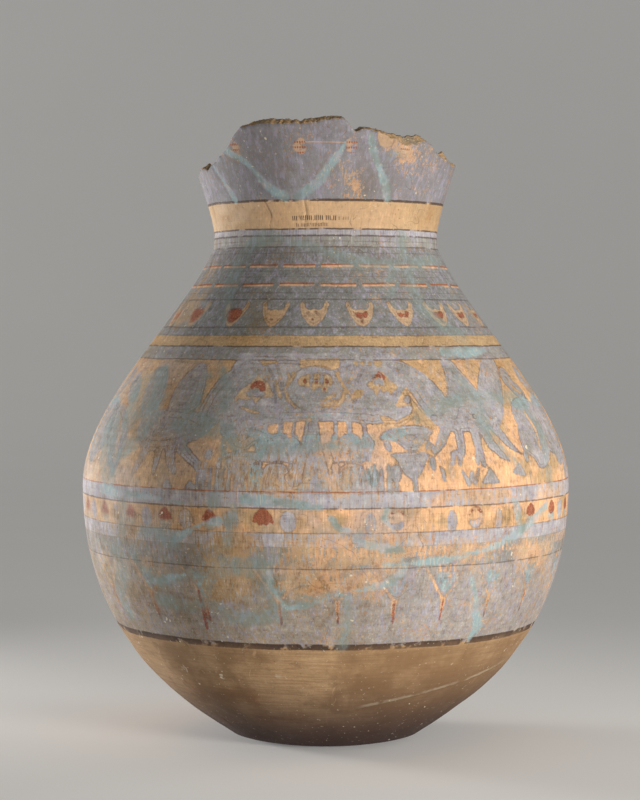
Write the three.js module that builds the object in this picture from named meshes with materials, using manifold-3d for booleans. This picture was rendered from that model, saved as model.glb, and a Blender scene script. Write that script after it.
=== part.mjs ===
// A large hollow storage jar of blue-painted pottery, with a wide belly, a sloping shoulder,
// a short throat and a flaring neck whose rim is broken away all round.
// Millimetres, +Z up. The origin is the centre of the flat spot that the jar rests on.
// Angles around the jar are in degrees: 0 is the front, at -Y, and 90 is at +X.
import * as THREE from "three";
import { mergeVertices } from "three/addons/utils/BufferGeometryUtils.js";
import Module from "manifold-3d";

// Radii of the outside
const REST_RADIUS = 60;
const FOOT_RADIUS = 99;
const BELLY_RADIUS = 254;
const THROAT_RADIUS = 116.5;
const RIM_RADIUS = 150;

// Heights, each measured from the one before
const FOOT_RISE = 6;
const BELLY_RISE = 259.5;
const SHOULDER_RISE = 248.5;
const THROAT_LENGTH = 8;
const NECK_LENGTH = 115;

// Thickness of the pottery
const WALL = 10;
const FLOOR = 14;

// How far each curve runs straight on from its ends, as shares of its own width and rise
const FOOT_PULL = [0.5, 0];
const LOWER_WALL_PULL = [0.19, 0.083];
const BELLY_PULL_DOWN = 0.68;
const BELLY_PULL_UP = 0.337;
const SHOULDER_PULL = [0.176, 0.274];
const THROAT_PULL_UP = 0.229;
const NECK_PULL = [0.14, 0.154];

// The broken rim, point by point around the jar: the angle of each point, how far the break
// lies there under the rim's highest point, and how much lower it is at the outer face
const BREAK_DEGREES = [
  -78, -70, -65, -57, -49, -40, -35, -31, -15, -13.5, -9, 2, 6.5, 12, 16, 23, 27, 35,
  42, 48, 57, 64, 70, 78, 90, 104, 121, 136, 150, 168, 182, 201, 221, 238, 256, 270,
];
const BREAK_DEPTHS = [
  42, 40, 44, 40, 32, 14, 6, 2, 1, 3.5, 2, 0, 1, 12, 10, 12, 15, 17,
  14, 21, 32, 29, 30, 36, 42, 46, 38, 33, 41, 49, 45, 35, 31, 40, 48, 47,
];
const BREAK_DROPS = [
  6, 5, 3, 2, 2, 2, 2, 4, 5, 4, 5, 4, 3, 2, 3, 4, 6, 9,
  9, 3, 2, 7, 8, 6, 3, 4, 3, 5, 4, 2, 5, 4, 3, 5, 3, 4,
];
const CRUMBLE = 0.8;

// Fineness of the faceted solid
const SIDES = 64;
const BREAK_SIDES = 120;
const LOWER_STEPS = 10;
const UPPER_STEPS = 10;
const NECK_STEPS = 5;
const FOOT_STEPS = 3;
const INNER_STEP_SHARE = 0.6;

const HEIGHT = FOOT_RISE + BELLY_RISE + SHOULDER_RISE + THROAT_LENGTH + NECK_LENGTH;
const SPARE_ABOVE_BREAK = 8;
const SAME_POINT = 0.05;

// The outside as four curves, from the resting spot to the rim, in radius and height.
function outsideCurves() {
  const point = (radius, height) => new THREE.Vector2(radius, height);
  const bellyHeight = FOOT_RISE + BELLY_RISE;
  const shoulderTop = bellyHeight + SHOULDER_RISE;
  const throatTop = shoulderTop + THROAT_LENGTH;
  const footWidth = FOOT_RADIUS - REST_RADIUS;
  const bellyWidth = BELLY_RADIUS - FOOT_RADIUS;
  const shoulderWidth = BELLY_RADIUS - THROAT_RADIUS;
  const flare = RIM_RADIUS - THROAT_RADIUS;
  const foot = new THREE.CubicBezierCurve(
    point(REST_RADIUS, 0),
    point(REST_RADIUS + FOOT_PULL[0] * footWidth, FOOT_PULL[1] * FOOT_RISE),
    point(FOOT_RADIUS - footWidth / 4, FOOT_RISE / 2),
    point(FOOT_RADIUS, FOOT_RISE),
  );
  const lowerWall = new THREE.CubicBezierCurve(
    point(FOOT_RADIUS, FOOT_RISE),
    point(FOOT_RADIUS + LOWER_WALL_PULL[0] * bellyWidth, FOOT_RISE + LOWER_WALL_PULL[1] * BELLY_RISE),
    point(BELLY_RADIUS, bellyHeight - BELLY_PULL_DOWN * BELLY_RISE),
    point(BELLY_RADIUS, bellyHeight),
  );
  const shoulder = new THREE.CubicBezierCurve(
    point(BELLY_RADIUS, bellyHeight),
    point(BELLY_RADIUS, bellyHeight + BELLY_PULL_UP * SHOULDER_RISE),
    point(THROAT_RADIUS + SHOULDER_PULL[0] * shoulderWidth, shoulderTop - SHOULDER_PULL[1] * SHOULDER_RISE),
    point(THROAT_RADIUS, shoulderTop),
  );
  const neck = new THREE.CubicBezierCurve(
    point(THROAT_RADIUS, throatTop),
    point(THROAT_RADIUS, throatTop + THROAT_PULL_UP * NECK_LENGTH),
    point(RIM_RADIUS - NECK_PULL[0] * flare, HEIGHT - NECK_PULL[1] * NECK_LENGTH),
    point(RIM_RADIUS, HEIGHT),
  );
  return [
    { curve: foot, steps: FOOT_STEPS },
    { curve: lowerWall, steps: LOWER_STEPS },
    { curve: shoulder, steps: UPPER_STEPS },
    { curve: neck, steps: NECK_STEPS },
  ];
}

// The point that lies a wall's thickness inside a point of a curve.
function insideOf(curve, share) {
  const along = curve.getTangent(share);
  return curve.getPoint(share).add(new THREE.Vector2(-along.y, along.x).multiplyScalar(WALL));
}

// The closed half section: up the outside, across the top, and down the inside to the axis.
function halfSection() {
  const curves = outsideCurves();
  const outside = curves.flatMap(({ curve, steps }) => curve.getPoints(steps));
  const inside = curves
    .slice(1)
    .flatMap(({ curve, steps }) => {
      const innerSteps = Math.ceil(steps * INNER_STEP_SHARE);
      return Array.from({ length: innerSteps + 1 }, (_, i) => insideOf(curve, i / innerSteps));
    })
    .filter((p) => p.y > FLOOR);
  const neck = curves[curves.length - 1].curve;
  const onward = neck.getTangent(1).multiplyScalar(SPARE_ABOVE_BREAK);
  const outerTop = neck.getPoint(1).add(onward);
  const innerTop = insideOf(neck, 1).add(onward);
  const section = [new THREE.Vector2(0, 0), ...outside, outerTop, innerTop, ...inside.reverse()];
  section.push(new THREE.Vector2(inside[inside.length - 1].x, FLOOR), new THREE.Vector2(0, FLOOR));
  return section.filter((p, i) => i === 0 || p.distanceTo(section[i - 1]) > SAME_POINT);
}

// The break at an angle: its height at the inner face and at the outer face.
function breakAt(degrees) {
  const first = BREAK_DEGREES[0];
  const turned = first + THREE.MathUtils.euclideanModulo(degrees - first, 360);
  const after = BREAK_DEGREES.findIndex((angle) => angle > turned);
  const next = after < 0 ? 0 : after;
  const last = after < 0 ? BREAK_DEGREES.length - 1 : after - 1;
  const nextDegrees = after < 0 ? first + 360 : BREAK_DEGREES[next];
  const share = (turned - BREAK_DEGREES[last]) / (nextDegrees - BREAK_DEGREES[last]);
  const depth = THREE.MathUtils.lerp(BREAK_DEPTHS[last], BREAK_DEPTHS[next], share);
  const drop = THREE.MathUtils.lerp(BREAK_DROPS[last], BREAK_DROPS[next], share);
  const crumble = (CRUMBLE * (Math.sin(turned * 0.31) + Math.sin(turned * 0.83) - 1)) / 2;
  const inner = HEIGHT - depth + crumble;
  return { inner, outer: inner - drop };
}

// Radius of the neck's outer face at a height.
function neckRadiusAt(height) {
  const points = outsideCurves()[3].curve.getPoints(60);
  const above = points.findIndex((p) => p.y > height);
  if (above < 1) return RIM_RADIUS;
  const [low, high] = [points[above - 1], points[above]];
  return THREE.MathUtils.mapLinear(height, low.y, high.y, low.x, high.x);
}

// A ring of which the underside is the break: what it covers is what has been lost.
function lostRim() {
  const core = THROAT_RADIUS / 2;
  const reach = RIM_RADIUS + 4 * WALL;
  const top = HEIGHT + 4 * SPARE_ABOVE_BREAK;
  const sectionAt = (turn) => {
    const { inner, outer } = breakAt(THREE.MathUtils.radToDeg(turn));
    const radius = neckRadiusAt(outer);
    const underside = [
      [core, inner],
      [radius - WALL, inner],
      [radius, outer],
      [reach, outer],
    ];
    return [...underside, [reach, top], [core, top], underside[0]];
  };
  const corners = sectionAt(0).map(([radius, height]) => new THREE.Vector2(radius, height));
  const ring = new THREE.LatheGeometry(corners, BREAK_SIDES);
  const position = ring.getAttribute("position");
  for (let side = 0; side <= BREAK_SIDES; side++) {
    const turn = (2 * Math.PI * ((side % BREAK_SIDES) + 0.5)) / BREAK_SIDES;
    sectionAt(turn).forEach(([radius, height], corner) => {
      const index = side * corners.length + corner;
      position.setXYZ(index, radius * Math.sin(turn), height, radius * Math.cos(turn));
    });
  }
  return ring;
}

const wasm = await Module();
wasm.setup();

// A closed solid from a geometry whose shared points are merged.
function solidOf(geometry) {
  const bare = geometry.clone();
  bare.deleteAttribute("normal");
  bare.deleteAttribute("uv");
  const merged = mergeVertices(bare, 1e-3);
  return new wasm.Manifold(
    new wasm.Mesh({
      numProp: 3,
      vertProperties: merged.getAttribute("position").array,
      triVerts: new Uint32Array(merged.index.array),
    }),
  );
}

// The geometry of a solid, for a mesh.
function geometryOf(solid) {
  const { vertProperties, triVerts } = solid.getMesh();
  const geometry = new THREE.BufferGeometry();
  geometry.setAttribute("position", new THREE.BufferAttribute(vertProperties, 3));
  geometry.setIndex(new THREE.BufferAttribute(triVerts, 1));
  geometry.computeVertexNormals();
  return geometry;
}

function makeJar() {
  const whole = solidOf(new THREE.LatheGeometry(halfSection(), SIDES));
  const jar = whole.subtract(solidOf(lostRim()));
  const geometry = geometryOf(jar).rotateX(Math.PI / 2);
  const pottery = new THREE.MeshStandardMaterial({ color: 0x8d8a90, roughness: 0.72, metalness: 0 });
  const mesh = new THREE.Mesh(geometry, pottery);
  mesh.name = "jar";
  return mesh;
}

const part = new THREE.Group();
part.add(makeJar());

export default part;
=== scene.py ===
import math

import bpy
import numpy as np
from bpy.props import FloatProperty, FloatVectorProperty, IntProperty, PointerProperty
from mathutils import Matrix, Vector


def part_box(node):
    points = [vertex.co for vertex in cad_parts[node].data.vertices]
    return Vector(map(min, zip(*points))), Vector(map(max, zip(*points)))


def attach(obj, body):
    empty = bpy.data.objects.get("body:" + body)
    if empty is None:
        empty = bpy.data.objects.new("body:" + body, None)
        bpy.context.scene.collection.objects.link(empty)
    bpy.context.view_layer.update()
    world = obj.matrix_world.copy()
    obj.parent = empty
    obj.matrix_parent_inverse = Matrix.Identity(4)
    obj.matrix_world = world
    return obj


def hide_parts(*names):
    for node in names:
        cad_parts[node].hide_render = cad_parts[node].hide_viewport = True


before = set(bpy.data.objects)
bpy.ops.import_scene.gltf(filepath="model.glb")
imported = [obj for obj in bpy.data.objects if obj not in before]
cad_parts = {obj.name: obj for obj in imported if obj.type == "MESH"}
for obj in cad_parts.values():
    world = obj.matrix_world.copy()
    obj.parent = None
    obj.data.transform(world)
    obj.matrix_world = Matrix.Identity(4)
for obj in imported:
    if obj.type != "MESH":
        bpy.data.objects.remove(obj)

bl_info = {
    "name": "Painted storage jar",
    "version": (1, 0, 0),
    "blender": (4, 5, 0),
    "location": "View3D > Sidebar > Jar",
    "description": "Makes a large blue-painted pottery jar with a broken neck, and a studio to show it in",
    "category": "Object",
}

CAD_LOW, CAD_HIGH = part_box("jar")


# Settings

def length(default, name, description):
    return FloatProperty(
        name=name, description=description, default=default, min=0.0, unit="LENGTH", precision=4
    )


def colour(code, name, description):
    return FloatVectorProperty(
        name=name, description=description, subtype="COLOR", size=3, min=0.0, max=1.0, default=linear(code)
    )


def linear(code):
    """The linear colour of a six-digit web colour."""
    parts = [int(code[i:i + 2], 16) / 255 for i in (0, 2, 4)]
    return tuple(p / 12.92 if p <= 0.04045 else ((p + 0.055) / 1.055) ** 2.4 for p in parts)


class JarSizes(bpy.types.PropertyGroup):
    belly_radius: length((CAD_HIGH[0] - CAD_LOW[0]) / 2, "Belly radius", "Outer radius at the widest place")
    foot_radius: length(0.099, "Foot radius", "Outer radius where the base turns up into the wall")
    rest_radius: length(0.060, "Resting radius", "Radius of the flat spot that the jar stands on")
    throat_radius: length(0.1165, "Throat radius", "Outer radius at the narrowest place")
    rim_radius: length(0.150, "Rim radius", "Outer radius that the neck reaches at its highest point")
    foot_height: length(0.006, "Foot height", "Height at which the base turns up into the wall")
    belly_height: length(0.2655, "Belly height", "Height of the widest place")
    throat_bottom: length(0.514, "Throat bottom", "Height at which the shoulder ends")
    throat_top: length(0.522, "Throat top", "Height at which the neck begins to open")
    height: length(0.637, "Height", "Height of the highest point of the broken neck")
    wall: length(0.010, "Wall", "Thickness of the pottery")
    floor: length(0.014, "Floor", "Thickness of the bottom")
    unevenness: length(0.0005, "Unevenness", "How far the hand-made wall wanders from a true curve")
    wheel_marks: length(0.00022, "Wheel marks", "Depth of the turning marks on the outside")
    inner_ridges: length(0.0006, "Inner ridges", "Depth of the finger ridges inside")
    chip_depth: length(0.0013, "Chips", "Size of the small chips along the broken edge")
    columns: IntProperty(name="Columns", description="Faces around the jar", default=432, min=48)


class JarPaint(bpy.types.PropertyGroup):
    clay: colour("b39470", "Bare clay", "Unpainted slip on the lower body")
    deep_clay: colour("7e6144", "Stained clay", "Stains and worn places on the bare clay")
    buff: colour("c8a784", "Buff", "Cream-orange bands and petal borders")
    orange: colour("d9ac84", "Orange ground", "Ground of the picture band")
    # Olive is also laid towards the left side as painted cool shade, besides the dirty, greener ground.
    olive: colour("a18a66", "Dull ground", "Dirty, greener parts of the ground")
    blue: colour("8c8b88", "Blue", "Grey-blue paint of the figures and bands")
    pale_blue: colour("a7a5ac", "Pale blue", "Lighter lavender bands and the neck")
    # The shoulder's darker blue is partly its own teal-grey paint, partly painted shade of the upward-facing
    # shoulder.
    slate: colour("7d7f7f", "Slate", "Darker blue of the shoulder")
    neck_blue: colour("85838a", "Neck blue", "Grey-lavender of the neck")
    violet: colour("9a96aa", "Violet", "Cooler strokes in the blue paint")
    dusty: colour("998f81", "Dusty ground", "Worn blue over slip on the lower body")
    deep_blue: colour("7f7f80", "Deep blue", "Dark hatched bands")
    turquoise: colour("8aa2a8", "Turquoise", "Repair fills and the turquoise parts of flowers")
    teal: colour("7b8985", "Teal", "Thin greenish film over the joins")
    red: colour("8a422c", "Red", "Fruits and flower tips")
    rust: colour("96562f", "Rust line", "Thin orange-red lines")
    brown: colour("4a3a32", "Brown line", "Dark outlines and framing lines")
    core: colour("b3946d", "Broken clay", "Fresh break of the pottery")
    grey_core: colour("8f8270", "Grey core", "Unevenly fired middle of the break")
    plaster: colour("d8ccb4", "Plaster", "Specks of white plaster")
    ink: colour("2c2420", "Ink", "Rows of plain ink strokes on the neck")


class StudioSettings(bpy.types.PropertyGroup):
    camera_distance: length(2.362, "Camera distance", "From the jar's axis to the camera")
    camera_height: length(0.431, "Camera height", "Height of the camera")
    camera_pitch: FloatProperty(
        name="Camera pitch", description="How far the camera looks down",
        default=math.atan(75 / 2250), subtype="ANGLE",
    )
    camera_side: length(0.0058, "Camera side step", "How far the camera stands left of the jar's axis")
    focal_length: FloatProperty(name="Focal length", description="Camera lens in millimetres", default=101.25)
    key_power: FloatProperty(
        name="Key light", description="Soft light from the right", default=8.3, unit="POWER"
    )
    edge_power: FloatProperty(
        name="Edge lights", description="Lamps behind the sides", default=4.8, unit="POWER"
    )
    sky: FloatProperty(name="Room light", description="Even light from all sides", default=0.21, min=0.0)
    paper_glow: FloatProperty(
        name="Paper glow", description="Light that the sweep gives off", default=0.13, min=0.0
    )
    room_radius: length(6.5, "Room radius", "Radius of the round pale sweep")


# Shape of the wall, in millimetres

class Profile:
    """The jar's section: outer radius and distance along the wall, by height."""

    def __init__(self, sizes):
        mm = 1000
        self.rest, self.foot = sizes.rest_radius * mm, sizes.foot_radius * mm
        self.belly, self.throat = sizes.belly_radius * mm, sizes.throat_radius * mm
        self.rim = sizes.rim_radius * mm
        self.foot_z, self.belly_z = sizes.foot_height * mm, sizes.belly_height * mm
        self.throat_low, self.throat_high = sizes.throat_bottom * mm, sizes.throat_top * mm
        self.top = sizes.height * mm
        self.wall, self.floor = sizes.wall * mm, sizes.floor * mm
        rise, climb = self.belly_z - self.foot_z, self.throat_low - self.belly_z
        neck = self.top - self.throat_high
        width, slope, flare = self.belly - self.foot, self.belly - self.throat, self.rim - self.throat
        lower = self.curve(
            (self.foot, self.foot_z),
            (self.foot + 0.19 * width, self.foot_z + 0.083 * rise),
            (self.belly, self.belly_z - 0.68 * rise),
            (self.belly, self.belly_z),
        )
        shoulder = self.curve(
            (self.belly, self.belly_z),
            (self.belly, self.belly_z + 0.337 * climb),
            (self.throat + 0.176 * slope, self.throat_low - 0.274 * climb),
            (self.throat, self.throat_low),
        )
        mouth = self.curve(
            (self.throat, self.throat_high),
            (self.throat, self.throat_high + 0.229 * neck),
            (self.rim - 0.14 * flare, self.top - 0.154 * neck),
            (self.rim, self.top),
        )
        line = np.vstack([lower, shoulder[1:], mouth])
        self.r, self.z = line[:, 0], line[:, 1]
        self.s = np.concatenate([[0], np.cumsum(np.hypot(np.diff(self.r), np.diff(self.z)))])

    @staticmethod
    def curve(a, b, c, d, count=160):
        t = np.linspace(0, 1, count)[:, None]
        a, b, c, d = (np.array(p, dtype=float) for p in (a, b, c, d))
        return (1 - t) ** 3 * a + 3 * (1 - t) ** 2 * t * b + 3 * (1 - t) * t ** 2 * c + t ** 3 * d

    def radius(self, z):
        return np.interp(z, self.z, self.r)

    def along(self, z):
        return np.interp(z, self.z, self.s)

    def height(self, s):
        return np.interp(s, self.s, self.z)

    def outward(self, z):
        """Outward direction of the wall at a height, as radius and height."""
        dr = self.radius(z + 1.5) - self.radius(z - 1.5)
        dz = 3.0 * np.ones_like(dr)
        size = np.hypot(dr, dz)
        return dz / size, -dr / size


# The broken rim: angle around from the front, depth under the top, extra depth at the outer face
# The broken rim: angle, depth under the highest point, and how much lower the outer face is
BREAK_POINTS = (
    (-78, 42, 6), (-70, 40, 5), (-64.8, 44, 3), (-56.6, 40, 2), (-49.2, 32, 2), (-45.1, 26, 2),
    (-39.6, 14, 2),
    (-35.1, 6, 2), (-31.5, 3, 4), (-25.1, 1.5, 5), (-19.5, 1.4, 5), (-14.9, 1.4, 5), (-13.6, 3.6, 4),
    (-11.8, 2, 4), (-10.3, 5, 3), (-9.4, 3, 5), (-4, 1.4, 5), (1.7, 0, 4), (6.3, 0.8, 3), (8.5, 4.7, 2),
    (11.7, 12, 2), (14, 10, 3), (16.6, 10, 3), (20.4, 10.5, 3), (23.3, 12, 4), (25.2, 14, 5), (29.2, 15, 6),
    (33.2, 17, 9), (39.1, 16, 9), (41.5, 14.4, 8), (44.3, 16, 5), (47.9, 21, 3), (52, 27, 3), (57.2, 32, 2),
    (61.7, 30, 7), (66.2, 28.5, 9), (73.9, 35, 7), (82.1, 36, 4), (90, 42, 3), (104, 46, 4), (121, 38, 3),
    (136, 33, 5), (150, 41, 4), (168, 49, 2), (182, 45, 5), (201, 35, 4), (221, 31, 3), (238, 40, 5),
    (256, 48, 3), (270, 47, 4),
)


def around(angle, points):
    """Values that run round the jar, from points of angle and value."""
    angles = np.array([p[0] for p in points], dtype=float)
    values = np.array([p[1] for p in points], dtype=float)
    return np.interp(angle, angles, values, period=360)


def ragged(angle, count, seed):
    """A jagged line round the jar, between -1 and 1."""
    rng = np.random.default_rng(seed)
    places = np.sort(rng.uniform(0, 360, count))
    return np.interp(angle, places, rng.uniform(-1, 1, count), period=360)


def break_heights(angle, profile, chips):
    """Heights of the broken edge at the inner and the outer face."""
    depth = around(angle, [(p[0], p[1]) for p in BREAK_POINTS])
    drop = around(angle, [(p[0], p[2]) for p in BREAK_POINTS])
    crumbs = chips * (0.7 * ragged(angle, 210, 3) + 0.5 * ragged(angle, 420, 4) - 0.6)
    inner = profile.top - depth + crumbs
    outer = inner - drop + chips * 0.6 * (ragged(angle, 260, 5) - 0.4)
    return np.minimum(inner, profile.top), outer


# Distances in the painted picture, in millimetres: negative inside a shape

def oval(u, v, x, y, rx, ry, turn=0.0):
    """Distance from an oval at a place, with its half sizes and its turn in degrees."""
    c, s = math.cos(math.radians(turn)), math.sin(math.radians(turn))
    p, q = (u - x) * c + (v - y) * s, (v - y) * c - (u - x) * s
    near = np.hypot(p / rx, q / ry)
    steep = np.maximum(np.hypot(p / rx ** 2, q / ry ** 2), 1e-6)
    return near * (near - 1) / steep


def limb(u, v, x0, y0, r0, x1, y1, r1):
    """Distance from a straight stroke with a half width at each end."""
    dx, dy = x1 - x0, y1 - y0
    t = np.clip(((u - x0) * dx + (v - y0) * dy) / (dx * dx + dy * dy), 0, 1)
    return np.hypot(u - x0 - dx * t, v - y0 - dy * t) - (r0 + (r1 - r0) * t)


def patch(u, v, points):
    """Distance from a closed outline."""
    far = np.full(u.shape, 1e3)
    inside = np.zeros(u.shape, dtype=bool)
    for (x0, y0), (x1, y1) in zip(points, points[1:] + points[:1]):
        far = np.minimum(far, limb(u, v, x0, y0, 0, x1, y1, 0))
        if y0 != y1:
            inside ^= ((y0 > v) != (y1 > v)) & (u < (x1 - x0) * (v - y0) / (y1 - y0) + x0)
    return np.where(inside, -far, far)


def curved(points, rounds=2):
    """A closed outline with its corners cut off again and again."""
    line = np.array(points, dtype=float)
    for _ in range(rounds):
        after = np.roll(line, -1, axis=0)
        line = np.stack([0.75 * line + 0.25 * after, 0.25 * line + 0.75 * after], axis=1).reshape(-1, 2)
    return [tuple(p) for p in line]


class Brush:
    """Lays shapes on the wall. A place is an angle and a height; a shape's own sizes are in millimetres."""

    LAYERS = (
        "blue", "ground", "turquoise", "red", "outline", "faint", "fill", "smear", "worn", "stain", "dots"
    )
    FAR = 60.0

    def __init__(self, profile, angle, z):
        self.profile, self.angle, self.z = profile, angle, z
        self.radius, self.along = profile.radius(z), profile.along(z)
        self.layers = {name: np.full(angle.shape, self.FAR) for name in self.LAYERS}
        self.move(0, 0)

    def move(self, angle, z, flip=1, size=1.0, reach=125.0):
        """Starts a motif at a place; only points within reach of it are painted."""
        turn = np.radians((self.angle - angle + 180) % 360 - 180) * self.radius
        rise = self.along - self.profile.along(z)
        self.near = np.nonzero((np.abs(turn) < reach) & (np.abs(rise) < reach))[0]
        self.u = flip * turn[self.near] / size
        self.v = rise[self.near] / size
        self.size = size

    def add(self, layer, distance):
        self.layers[layer][self.near] = np.minimum(self.layers[layer][self.near], distance * self.size)

    def cut(self, layer, distance):
        self.layers[layer][self.near] = np.maximum(self.layers[layer][self.near], -distance * self.size)

    def keep_between(self, layer, low, high):
        """Trims a layer to the heights of one band."""
        band = np.maximum(low - self.z, self.z - high)
        self.layers[layer] = np.maximum(self.layers[layer], band)

    def oval(self, layer, *sizes):
        self.add(layer, oval(self.u, self.v, *sizes))

    def limb(self, layer, *sizes):
        self.add(layer, limb(self.u, self.v, *sizes))

    def bend(self, layer, *places):
        """A limb through places, each with a half width."""
        for start, end in zip(places, places[1:]):
            self.limb(layer, *start, *end)

    def line(self, layer, width, *points):
        self.bend(layer, *[(x, y, width / 2) for x, y in points])

    def patch(self, layer, *points, spare=0.0):
        self.add(layer, patch(self.u, self.v, list(points)) - spare)

    def shape(self, layer, *points):
        self.add(layer, patch(self.u, self.v, curved(points)))

    def carve(self, layer, *points):
        self.cut(layer, patch(self.u, self.v, curved(points)))

    def trail(self, layer, points):
        """A band along the wall through places, each an angle, a height and a half width."""
        for (a0, z0, w0), (a1, z1, w1) in zip(points, points[1:]):
            self.move(a0, z0)
            x1 = math.radians(a1 - a0) * float(self.profile.radius((z0 + z1) / 2))
            y1 = float(self.profile.along(z1) - self.profile.along(z0))
            if math.hypot(x1, y1) > 0.5:
                self.limb(layer, 0, 0, w0, x1, y1, w1)


# Motifs of the picture band

def duck_bundle(brush, angle, z, flip=1, size=1.0):
    """Trussed fowl: three wings up, round bodies and limp necks hanging in a fan."""
    brush.move(angle, z, flip, size)
    brush.shape("blue", (-72, 66), (-45, 65), (-26, 49), (-17, 36), (-9, 19), (-18, -8), (-30, -15), (-41, 0),
                (-47, 12), (-53, 32), (-62, 55))
    brush.shape(
        "blue", (0, 68), (14, 66), (22, 49), (30, 32), (34, 24), (28, 10), (-10, 10), (-9, 22), (-1, 43)
    )
    brush.shape(
        "blue", (66, 68), (91, 66), (78, 35), (62, 4), (51, -12), (38, -17), (26, -8), (22, 8),
        (34, 27), (48, 50),
    )
    brush.oval("blue", -9, 1, 29, 19)
    brush.oval("blue", 14, -4, 26, 14)
    brush.bend("blue", (-22, -12, 6), (-33, -28, 5), (-43, -39, 2))
    brush.oval("blue", -43, -35, 2.6, 6, 8)
    brush.bend("blue", (-9, -12, 5.5), (-12, -36, 4.5), (-17, -51, 2))
    brush.bend("blue", (-14, -38, 3), (-22, -40, 3.4), (-26, -50, 2.4))
    brush.bend("blue", (10, -14, 5), (9, -36, 4.2), (12, -52, 2.6))
    brush.bend("blue", (8, -36, 3), (4, -50, 2.4))
    brush.bend("blue", (20, -12, 6), (27, -31, 5.2), (37, -42, 4), (49, -50, 1.4))
    brush.bend("blue", (36, -10, 7), (51, -31, 4.4), (60, -38, 3.2), (68, -43, 1.2))
    brush.bend("blue", (-16, -57, 2), (-10, -70, 2.2), (-5, -58, 1.8), (-2, -70, 1.8), (4, -56, 1.4))
    brush.patch("blue", (6, -70), (19, -54), (24, -62), (31, -71))
    brush.patch("blue", (-40, -52), (-36, -54), (-35, -66), (-39, -66))
    brush.shape("blue", (46, -60), (56, -57), (62, -48), (68, -60), (74, -66), (62, -65), (52, -63))
    brush.oval("blue", 77, -46, 4, 7)
    brush.oval("outline", -11, 1, 2.6, 2.4)
    brush.oval("outline", -32, -3, 4.2, 4)
    brush.oval("outline", 16, -2, 2.4, 2.4)
    brush.line("outline", 1.6, (-50, -44), (-53, -54))
    brush.line("outline", 1.8, (46, -48), (52, -51))
    brush.line("outline", 1.8, (64, -41), (71, -44))


def worn_bundle(brush, angle, z):
    """The left bundle of fowl, wider and more worn, with a shapeless mass beyond it."""
    brush.move(angle, z, reach=190)
    brush.shape(
        "blue", (-90, 58), (-68, 58), (-55, 28), (-60, 4), (-54, -12), (-80, -10), (-92, 14), (-94, 42)
    )
    brush.shape("blue", (-26, 62), (-13, 60), (-6, 32), (-6, 4), (-44, 2), (-46, 20), (-42, 40))
    brush.shape(
        "blue", (46, 66), (14, 54), (2, 34), (-4, 8), (-2, -8), (20, -14), (27, 6), (30, 30), (46, 50)
    )
    brush.shape("blue", (-86, -4), (-48, 9), (-6, 6), (22, -8), (8, -24), (-20, -34), (-57, -40), (-78, -28))
    brush.bend("blue", (-55, -32, 6), (-62, -43, 5), (-74, -66, 2.4))
    brush.bend("blue", (-40, -36, 5), (-40, -46, 4), (-42, -60, 2))
    brush.bend("blue", (-27, -31, 6), (-22, -48, 5), (-15, -58, 2.4))
    brush.bend("blue", (-15, -31, 6), (-2, -41, 5), (10, -49, 4.4), (18, -62, 2))
    brush.oval("blue", 21, -39, 4.5, 6)
    brush.patch("blue", (5, -64), (-3, -74), (15, -74))
    brush.patch("blue", (-24, -62), (-30, -74), (-14, -74))
    brush.shape(
        "blue", (-152, 4), (-134, 12), (-118, 6), (-98, -10), (-92, -30), (-98, -52), (-108, -70),
        (-120, -58), (-134, -40), (-148, -22),
    )
    brush.shape("blue", (-140, 44), (-122, 50), (-106, 34), (-104, 14), (-118, 10), (-132, 20))
    brush.line("ground", 1.6, (-128, 2), (-112, -20), (-108, -50))
    brush.oval("outline", -52, -8, 4, 4)
    brush.oval("outline", -24, -4, 3, 3)


def far_mass(brush, angle, z, flip=1, size=1.0):
    """A tall worn mass beyond the fowl, with a bud above it and leaves under it."""
    brush.move(angle, z, flip, size, 160)
    brush.shape(
        "blue", (82, 14), (108, 18), (134, 12), (126, -10), (136, -30), (134, -46), (118, -58),
        (99, -61), (92, -48), (76, -43), (72, -28), (78, -12), (74, -2),
    )
    brush.shape("blue", (89, 56), (106, 50), (104, 38), (117, 31), (126, 18), (106, 12), (92, 26), (82, 38))
    brush.shape("turquoise", (80, 16), (104, 20), (132, 14), (122, 3), (98, 4), (80, 6))
    brush.shape("blue", (146, 34), (154, 26), (160, 0), (156, -30), (150, -6), (148, 10))
    brush.bend("ground", (100, 2, 1), (112, -20, 2.4), (110, -44, 1.4))
    brush.bend("ground", (96, 40, 1), (102, 26, 2.4), (114, 22, 1))


def fan_flower(brush, angle, z, flip=1, size=1.0):
    """An open water lily on a stem, its crown curved over a tapering cup, with buds at its sides."""
    brush.move(angle, z, flip, size)
    brush.shape("blue", (-27, 13), (-16, 23), (0, 27), (20, 27), (34, 22), (27, 15), (19, 7), (12, 1), (2, 1),
                (-4, 6), (-10, 11), (-19, 12))
    brush.shape("turquoise", (-26, 13), (-14, 23), (4, 26), (6, 18), (-4, 13), (-14, 12))
    brush.shape(
        "blue", (-20, -1), (26, 0), (21, -8), (15, -19), (9, -27), (0, -26), (-7, -17), (-9, -9),
        (-15, -4),
    )
    brush.bend("blue", (6, -22, 3), (7, -34, 2.4), (8, -46, 2.6))
    brush.oval("blue", -17, 6, 3.4, 6, 14)
    brush.oval("blue", 24, 7, 3.2, 6, -12)
    brush.oval("blue", -12, -21, 5, 9)
    brush.oval("blue", 27, -12, 3.2, 7)
    brush.line("ground", 2.4, (12, -1), (20, 8), (27, 14))


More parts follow.
